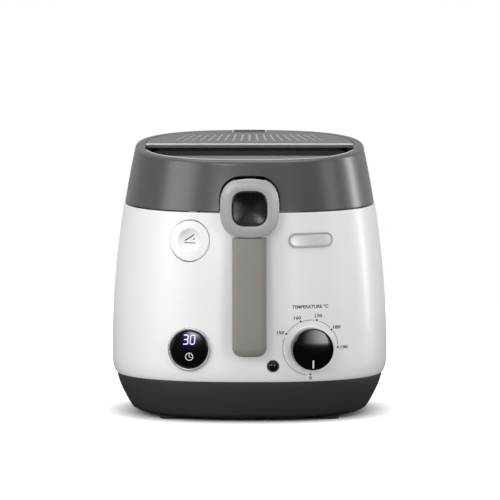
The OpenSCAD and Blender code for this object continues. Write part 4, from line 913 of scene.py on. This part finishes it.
def lensMaterial(place):
    # smoked moulded lens: near black, with a violet glow that fades away from the lit digits
    values = {"Base Color": linear(timer["glass"]), "Emission Color": linear(timer["glow"])}
    lens, tree, shader = startMaterial("tintedDisplayLens", values)
    where = addNode(tree, "TexCoord")
    digits = place[0] + np.array([0.0, timer["digitMiddle"]]) @ place[1][:2]
    centre = (digits + [0, form["middleY"], 0]) * 0.001
    shift = addNode(tree, "Mapping", {"Location": [-c for c in centre]}, {"Vector": (where, "Object")})
    distance = addNode(tree, "VectorMath", None, {0: (shift, "Vector")}, operation="LENGTH")
    glow = addNode(tree, "MapRange", fromTo(timer["glowFrom"], timer["glowTo"], timer["glowPower"], 0.0),
                   {"Value": (distance, "Value")}, interpolation_type="SMOOTHSTEP")
    smear = addNode(tree, "TexNoise", {"Scale": perMm(9)}, {"Vector": (where, "Object")})
    gloss = addNode(tree, "MapRange", fromTo(0, 1, 0.15, 0.2), {"Value": (smear, "Fac")})
    tree.links.new(glow.outputs[0], shader.inputs["Emission Strength"])
    tree.links.new(gloss.outputs[0], shader.inputs["Roughness"])
    return lens


def litMaterial():
    # light through the lens: white with a violet edge, a little uneven
    values = {"Base Color": linear("#dcd4ff"), "Emission Color": linear("#cdc4ff")}
    lit, tree, shader = startMaterial("litSegments", values)
    patch = addNode(tree, "TexNoise", {"Scale": perMm(3)})
    strength = addNode(tree, "MapRange", fromTo(0, 1, 0.62, 0.85), {"Value": (patch, "Fac")})
    tree.links.new(strength.outputs[0], shader.inputs["Emission Strength"])
    return lit


def leaning(path):
    # digits drawn narrower, and sheared to the right by their height above their middle
    return np.column_stack([path[:, 0] * 0.96 + 0.06 * (path[:, 1] - timer["digitMiddle"]), path[:, 1] + 0.7])


def evenly(path, count=60):
    # the path again with this many points, evenly spread by number along it
    at = np.linspace(0, len(path) - 1, count)
    return np.column_stack([np.interp(at, np.arange(len(path)), path[:, i]) for i in (0, 1)])


def buildTimer():
    # a turned bezel, and a lens crowned by the square of the distance, with its digits laid on that face
    place = wallFrame(*controlAt["timer"])
    r, out, crown = timer["radius"], timer["out"], timer["crown"]
    ring = rounded([(r + 0.5, -8, 0), (r + 0.5, out - 1.6, 0.3), (r + 1.0, out, 0.7), (r + 2.2, out, 0.6),
                    (r + 3.2, out - 1.8, 0.7), (r + 3.4, -8, 0)], steps=6)
    bezel = turned(ring, place, 160, wrapRows=True)
    piece("timerBezel", bezel, "housing", brightChrome, ["timer_bezel"])
    rim, rimZ = r * timer["rim"], out - 2.1
    k = np.linspace(1, 0.04, 20)
    edge = rounded([(5, -3, 0), (r, -3, 0.3), (r, out - 2.4, 0.9), (rim, rimZ, 0)], closed=False)[:-1]
    face = np.column_stack([rim * k, rimZ + crown * (1 - k ** 2)])
    lens = turned(np.vstack([edge, face]), place, 128)
    piece("timerLens", lens, "timer_button", lensMaterial(place), ["timer_button"], sharp=50)

    surface = onPlace(place, lambda q: rimZ + crown * (1 - np.clip(q / rim, 0, 1) ** 2))
    three = rounded([(-6.1, 14.2, 0), (-1.3, 14.2, 1.6), (-1.3, 10.2, 0.9), (-2.4, 9.5, 0.3),
                     (-1.3, 8.8, 0.9), (-1.3, 4.8, 1.6), (-6.1, 4.8, 0)], closed=False)
    middle = np.array([[-5.5, 9.5], [-2.3, 9.5]])
    zero = rounded([(1.4, 14.2, 1.7), (6.0, 14.2, 1.7), (6.0, 4.8, 1.7), (1.4, 4.8, 1.7)])
    digits = [stroke(leaning(evenly(path)), timer["digitLine"], surface) for path in (three, middle)]
    digits.append(stroke(leaning(zero), timer["digitLine"], surface, closed=True))
    piece("timerDigits", digits, "timer_button", litMaterial(), sharp=20)
    icon = [stroke(circle(0, timer["iconMiddle"], timer["iconRadius"], 60), 0.75, surface, closed=True)]
    icon += [stroke(hand, 0.7, surface) for hand in ([[0, -4.9], [0, -6.0], [0, -7.5]],
                                                     [[-0.2, -7.4], [1.1, -7.9], [2.1, -8.3]])]
    piece("timerClock", icon, "timer_button", whiteInk, sharp=20)


lamp = {"radius": 4.8, "edge": 0.6, "dome": 2.2}


def buildLamp():
    # the dome's height goes with the square root of one less the distance squared
    place, r = wallFrame(*controlAt["lamp"]), lamp["radius"]
    k = np.linspace(1, 0.06, 14)
    dome = np.column_stack([r * k, lamp["edge"] + lamp["dome"] * np.sqrt(1 - k ** 2)])
    lens = turned(np.vstack([[(r, -5.0), (r, 0.3)], dome]), place, 64)
    piece("lampLens", lens, "housing", lampRed, ["lamp_lens"], sharp=50)
    ring = rounded([(4.9, -4, 0), (4.9, 0.5, 0.2), (5.7, 0.4, 0.3), (5.8, -4, 0)])
    piece("lampBezel", turned(ring, place, 64, wrapRows=True), "housing", texturedCharcoal)


button = {"radius": 21.1, "roll": 1.3, "dimple": 12.6, "depth": 5.4, "lean": 0.95}


def buildButton():
    # rings of points round the button's axis, each laid on the face below, and grey strokes just off that
    # face, painted shade standing for the icon's debossed grooves
    place = wallFrame(*controlAt["button"])
    origin, axes = place
    radius, roll, dimple = button["radius"], button["roll"], button["dimple"]

    def buttonFace(u, v, up):
        # the wall's own surface, less a round hollow that is deeper towards the top, and less a rolled edge
        q = np.hypot(u, v)
        across = origin + np.stack([u, v, 0 * u], -1) @ axes
        x, z = across[..., 0], across[..., 2]
        lean = 1 + button["lean"] * v / dimple
        sunk = np.maximum(button["depth"] * (1 - (q / dimple) ** 2), 0) * lean
        hollow = np.sqrt(sunk ** 2 + 0.05) - 0.22   # the root softens the hollow's edge
        edge = 0.7 * np.clip((q - radius + roll) / roll, 0, 1) ** 2.5
        wall = np.stack([x, wallY(x, z), z], -1)
        return wall + (up - hollow - edge)[..., None] * axes[2]

    q = np.concatenate([np.linspace(0.4, dimple + 1, 34), np.linspace(dimple + 1.6, radius - roll, 8),
                        np.linspace(radius - 1.1, radius, 8)])
    t = np.linspace(0, 2 * math.pi, 144, endpoint=False)
    u, v = q[:, None] * np.cos(t), q[:, None] * np.sin(t)
    face = buttonFace(u, v, np.zeros_like(u))
    skirt = face[-1] - 6 * axes[2]
    inner = origin + (skirt - origin) * 0.2 - 5 * axes[2]
    cap = gridShape(np.concatenate([face, skirt[None], inner[None]]))
    piece("lidButton", cap, "lid_button", buttonWhite, ["lid_button"], sharp=50)
    # the icon's grey lines are painted shade for its grooves
    lines = [((-6.4, -2.0), (5.8, -2.0), 1.0), ((-6.2, 0.2), (3.2, 6.9), 1.3)]
    icon = [stroke(np.linspace(a, b, 20), width, buttonFace, 0.08, 0.3) for a, b, width in lines]
    icon.append(stroke(circle(3.1, 2.2, 0.55, 24), 1.0, buttonFace, 0.08, 0.3, closed=True))
    piece("buttonIcon", icon, "lid_button", greyPrintAndGrooveShade, sharp=20)
    piece("buttonStem", turned([(4, -16), (4, -11)], place, 48), "lid_button", buttonWhite)


badge = {"x": 63.2, "z": 188.6, "width": 46.0, "height": 15.4}


def pillPath(w, h, steps=24):
    # a half circle at each end, joined by straight runs
    t = np.linspace(-math.pi / 2, math.pi / 2, steps)
    right = np.column_stack([(w - h) / 2 + h / 2 * np.cos(t), h / 2 * np.sin(t)])
    top = np.column_stack([np.linspace((w - h) / 2, -(w - h) / 2, 22)[1:-1], np.full(20, h / 2)])
    return np.vstack([right, top, -right, -top])


def buildBadge():
    # pill outlines on the wall, one for each (inset, height off the wall)
    x, z, w, h = [badge[k] for k in ("x", "z", "width", "height")]

    def band(levels):
        paths = [(pillPath(w - 2 * inset, h - 2 * inset), up) for inset, up in levels]
        return np.stack([onWall(x + p[:, 0], z + p[:, 1], np.full(len(p), up)) for p, up in paths])

    rim = band([(0, -0.8), (0, 0.7), (0.25, 1.15), (0.7, 1.3), (1.2, 1.2), (1.5, 0.9), (1.55, -0.8)])
    piece("badgeRim", gridShape(rim, wrapRows=True), "housing", silverLacquer, ["badge_plate"])
    face = band([(1.6, -0.6), (1.6, 0.35), (2.0, 0.62), (2.6, 0.72), (4.5, 0.8), (h / 2 - 0.001, 0.84)])
    piece("badgeFace", gridShape(face, capLast=False), "housing", badgePearl)


buildKnob()
buildScale()
buildTimer()
buildLamp()
buildButton()
buildBadge()
print("controls built")


bowl = {"half": 114.0, "floor": 79.0, "thick": 1.5, "deck": 212.0, "flange": 4.0, "lean": 7.6}
liner = {"thick": 1.2, "slits": 3, "slitPitch": 22}


def buildBowl():
    # a pressed pan: flat floor, round corner, sides that lean out, and a flat rim slotted for the catch
    w, z, t, deckZ = bowl["half"], bowl["floor"], bowl["thick"], bowl["deck"]
    edge, foot = w + bowl["flange"], w - bowl["lean"]
    profile = rounded([(60, z, 0), (foot, z, 9), (w, deckZ, 0.8), (edge, deckZ, 0.4), (edge, deckZ + t, 0.6),
                       (w - t, deckZ + t, 1.2), (foot - t, z + t, 8), (60, z + t, 0)], closed=False, steps=8)
    low, high = boxMm("latch_hook")
    back = high[1] - form["middleY"] + 3.5
    slot = block((low[0] - 1.5, -200, deckZ - 1), (high[0] + 2.5, back, deckZ + t + 1))
    piece("oilBowl", ovalShell(profile), "housing", nonStick, ["oil_bowl"], cuts=[slot])


def buildLiner():
    # a drawn dish upside down: flat roof, round corner, flared side and a flat rim
    low, high = boxMm("lid_liner")
    w, rim, roof, t = bowl["half"], low[2], high[2], liner["thick"]
    profile = rounded([(60, roof - t, 0), (w - 12, roof - t, 7), (w - 5, rim, 2.5), (high[0], rim, 0.4),
                       (high[0], rim + t, 0.4), (w - 4.2, rim + t, 2.5), (w - 10.8, roof, 7), (60, roof, 0)],
                      closed=False, steps=8)
    hookLow, hookHigh = boxMm("latch_hook")
    cuts = [block((-16, -200, 0), (16, 19 - w, 400)),   # lifting arm, catch, window, then the steam slits
            block((hookLow[0] - 4, -200, 0), (hookLow[0] + 12, hookHigh[1] - form["middleY"] + 3.9, 400)),
            block((-74, -72, roof - 5), (74, -18, roof + 5))]
    middles = [i * liner["slitPitch"] for i in range(-liner["slits"], liner["slits"] + 1)]
    cuts += [block((x - 3, 30, roof - 5), (x + 3, 90, roof + 5)) for x in middles]
    piece("lidLiner", ovalShell(profile), "lid", brushedSteel, ["lid_liner"], cuts=cuts)


basket = {"half": 98.0, "more": 5.0, "shift": 10.0, "low": 90.5, "top": 163.5, "pitch": 5.2, "wire": 0.55}


def basketHalf(z):
    # the half width, drawn in along straight runs towards the floor
    low = basket["low"]
    return basket["half"] - 0.7 - np.interp(z, [low, low + 3, low + 10, basket["top"]], [12, 6, 3, 0])


def buildBasket():
    # two crossed families of wires run over the floor and up the walls, and rings go round;
    # on the floor each wire rises and falls with the cosine of its place along the pitch
    pitch, r, more, shift = [basket[k] for k in ("pitch", "wire", "more", "shift")]
    low, top, e = basket["low"] + 0.8, basket["top"], form["corner"]
    wires = []
    for family, (moreA, moreB) in enumerate([(0, more), (more, 0)]):
        count = int((basket["half"] + moreA - 3) / pitch)
        for i in range(-count, count + 1):
            u = i * pitch
            z = np.concatenate([np.linspace(top - 0.6, low + 12, 22), np.linspace(low + 11, low + 0.2, 14)])
            a, b = basketHalf(z) + moreA, basketHalf(z) + moreB
            inside = a > abs(u) + 0.4
            z, a, b = z[inside], a[inside], b[inside]
            side = b * (1 - np.abs(u / a) ** e) ** (1 / e)
            if abs(u) < a[-1] - 2 and len(z) == 36:   # this wire reaches the floor
                v = np.linspace(side[-1], -side[-1], 90)[1:-1]
                fade = np.clip((side[-1] - np.abs(v)) / 6, 0, 1)
                weave = 0.5 * math.cos(math.pi * i) * (1 - 2 * family) * np.cos(math.pi * v / pitch) * fade
                v, z = np.concatenate([side, v, -side[::-1]]), np.concatenate([z, low + 0.1 + weave, z[::-1]])
            else:
                v, z = np.concatenate([side, -side[::-1]]), np.concatenate([z, z[::-1]])
            flat = np.full(len(v), u)
            x, y = (v, flat) if family else (flat, v)
            wires.append(tubeAlong(np.column_stack([x, y + shift, z]), r, 6))
    for z in np.arange(low + 9, top - 1, pitch):
        ring = ovalGrid([float(basketHalf(z)) - 0.5], [z], 260, more=more)[0] + [0, shift, 0]
        wires.append(tubeAlong(ring, r, 6, closed=True))
    piece("basketWires", wires, "basket", brightWire, ["basket_mesh"])


buildBowl()
buildLiner()
buildBasket()
print("bowl and basket built")


# CAD nodes that keep their own shape, under the finish they get
nodeFinish = [
    (zincSteel, "base_screws chassis_plate thermostat_nut timer_battery bracket_screws hinge_pins lid_strike "
                "cover_pins handle_shaft handle_screws slider_spring arm_shaft arm_pin knob_shaft "
                "timer_spring button_springs latch_hook"),
    (rawAluminium, "heat_shield bowl_standoffs heater_plate"),
    (heatedSteel, "heater_coil"),
    (brushedSteel, "lift_arm basket_frame basket_hanger"),
    (copperTube, "thermostat_bulb"),
    (ceramicPart, "thermal_cutout thermostat_body"),
    (gearNylon, "lamp_holder button_guide terminal_block drive_gear"),
    (texturedCharcoal, "timer_housing lift_bracket hinge_bracket gland_nut"),
    (circuitGreen, "timer_board"),
    (rubberBlack, "cord_gland"),
    (wireSleeve, "supply_wires"),
    (sealGrey, "lid_gasket"),
    # the filter tray's near-black is partly painted shade behind the slots
    (darkTrayAndShade, "filter_tray"),
    (carbonFelt, "carbon_filter"),
]
for material, names in nodeFinish:
    for name in names.split():
        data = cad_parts[name].data
        data.materials.clear()
        data.materials.append(material)
print("frame nodes finished")


studio = {
    "floor": [(-3, -1.7, 0), (3, -1.7, 0), (3, 1.3, 0), (-3, 1.3, 0)],
    "paper": "#f6f6f6", "bounce": "#b0b0b0", "dim": "#303030", "paperGlow": 0.62,
    # the room's light: axis, where it starts and ends along it, and its strength at each end
    "room": [("Y", -0.95, -0.2, 0.03, 0.33), ("Z", 0.1, 0.7, 0.0, 0.5), ("Y", 0.5, 0.9, 0.0, 0.45)],
    # soft boxes: place, width and height in metres, and power
    "lamps": {
        "softLeft": ((-2.25, -1.15, 0.8), (1.8, 1.6), 28.5), "softRight": ((2.4, -0.5, 0.8), (0.8, 1.4), 6),
        "rimRight": ((1.7, 0.95, 0.5), (0.3, 1.1), 9), "softTop": ((0.0, 0.0, 1.9), (1.8, 1.6), 19),
        "frontCard": ((0.72, -2.6, 0.36), (1.2, 0.68), 12),
        "leftCard": ((-0.6, -2.5, 0.72), (0.6, 0.5), 10.5), "frontFill": ((0.9, -2.7, 1.2), (1.5, 1.0), 4.5)},
    "lampsAim": (0, 0.02, 0.15), "cardGrade": (0.3, 1.0, 0.02, 2.1),
}


def buildFloor():
    # pale paper: the camera sees it bright and darker close under things, but the fryer itself sees it
    # dim, so that undersides stay dark
    mesh = bpy.data.meshes.new("studioFloor")
    mesh.from_pydata(studio["floor"], [], [(0, 1, 2, 3)])
    floor = bpy.data.objects.new("studioFloor", mesh)
    scene.collection.objects.link(floor)
    paper, tree, shader = startMaterial("paleStudioPaper", {
        "Base Color": linear(studio["paper"]), "Roughness": 0.9, "Specular IOR Level": 0.1,
        "Emission Color": linear("#ffffff")})
    near = addNode(tree, "AmbientOcclusion", {"Distance": 0.05}, samples=16)
    glow = addNode(tree, "MapRange", fromTo(0.2, 0.95, 0.0, studio["paperGlow"]), {"Value": (near, "AO")})
    tree.links.new(glow.outputs[0], shader.inputs["Emission Strength"])
    path = addNode(tree, "LightPath")
    bounce, dim = [addNode(tree, "BsdfDiffuse", {"Color": linear(studio[tone])})
                   for tone in ("bounce", "dim")]
    others = addNode(tree, "MixShader", None, {0: (path, "Is Glossy Ray"), 1: (bounce, 0), 2: (dim, 0)})
    mix = addNode(tree, "MixShader", None, {0: (path, "Is Camera Ray"), 1: (others, 0), 2: (shader, 0)})
    tree.links.new(mix.outputs[0], tree.nodes["Material Output"].inputs[0])
    mesh.materials.append(paper)


def buildRoom():
    # dim towards the camera's side, bright at the sides and above, as a room with soft boxes;
    # the strength is the greatest of the smooth ramps, and the camera itself sees plain white
    world = bpy.data.worlds.new("studio")
    scene.world = world
    world.use_nodes = True
    tree = world.node_tree
    tree.nodes.clear()
    where = addNode(tree, "TexCoord")
    split = addNode(tree, "SeparateXYZ", None, {0: (where, "Generated")})
    most = None
    for axis, *ends in studio["room"]:
        ramp = addNode(tree, "MapRange", fromTo(*ends), {"Value": (split, axis)},
                       interpolation_type="SMOOTHSTEP")
        most = ramp if most is None else addNode(tree, "Math", None, {0: (most, 0), 1: (ramp, 0)},
                                                 operation="MAXIMUM")
    room = addNode(tree, "Background", {"Color": (1, 1, 1, 1)}, {"Strength": (most, 0)})
    seen = addNode(tree, "Background", {"Color": (1, 1, 1, 1), "Strength": 1.0})
    path = addNode(tree, "LightPath")
    mix = addNode(tree, "MixShader", None, {0: (path, "Is Camera Ray"), 1: (room, 0), 2: (seen, 0)})
    addNode(tree, "OutputWorld", None, {"Surface": (mix, 0)})


def buildLamps():
    # area lamps, each turned to face the same point in the fryer
    aim = Vector(studio["lampsAim"])
    for name, (at, size, power) in studio["lamps"].items():
        light = bpy.data.lights.new(name, "AREA")
        light.shape, light.size, light.size_y, light.energy = "RECTANGLE", size[0], size[1], power
        if name == "frontCard":
            # this card gets dimmer towards the left, so that polished parts show a soft grade
            light.use_nodes = True
            tree = light.node_tree
            across = addNode(tree, "NewGeometry")
            part = addNode(tree, "SeparateXYZ", None, {0: (across, "Parametric")})
            grade = addNode(tree, "MapRange", fromTo(*studio["cardGrade"]), {"Value": (part, "X")},
                            interpolation_type="SMOOTHSTEP")
            tree.links.new(grade.outputs[0], tree.nodes["Emission"].inputs["Strength"])
        holder = bpy.data.objects.new(name, light)
        holder.location = at
        holder.visible_glossy = name != "frontFill"
        holder.rotation_euler = (aim - Vector(at)).to_track_quat("-Z", "Y").to_euler()
        scene.collection.objects.link(holder)


view = {"distance": 20.0, "tilt": 4.745, "frameWidth": 0.52, "aimX": 0.0005, "aimZ": 0.1666, "sensor": 36}


def buildCamera():
    # the lens is the sensor's width times the distance, over the width that the frame takes in
    distance, tilt = view["distance"], math.radians(view["tilt"])
    aim = Vector((view["aimX"], form["middleY"] * 0.001, view["aimZ"]))
    camera = bpy.data.cameras.new("camera")
    camera.sensor_width = view["sensor"]
    camera.lens = view["sensor"] * distance / view["frameWidth"]
    camera.clip_end = 60
    holder = bpy.data.objects.new("camera", camera)
    holder.location = aim + Vector((0, -math.cos(tilt), math.sin(tilt))) * distance
    holder.rotation_euler = (aim - holder.location).to_track_quat("-Z", "Y").to_euler()
    scene.collection.objects.link(holder)
    scene.camera = holder


buildFloor()
buildRoom()
buildLamps()
buildCamera()
scene.view_settings.view_transform = "Standard"
print("studio ready")
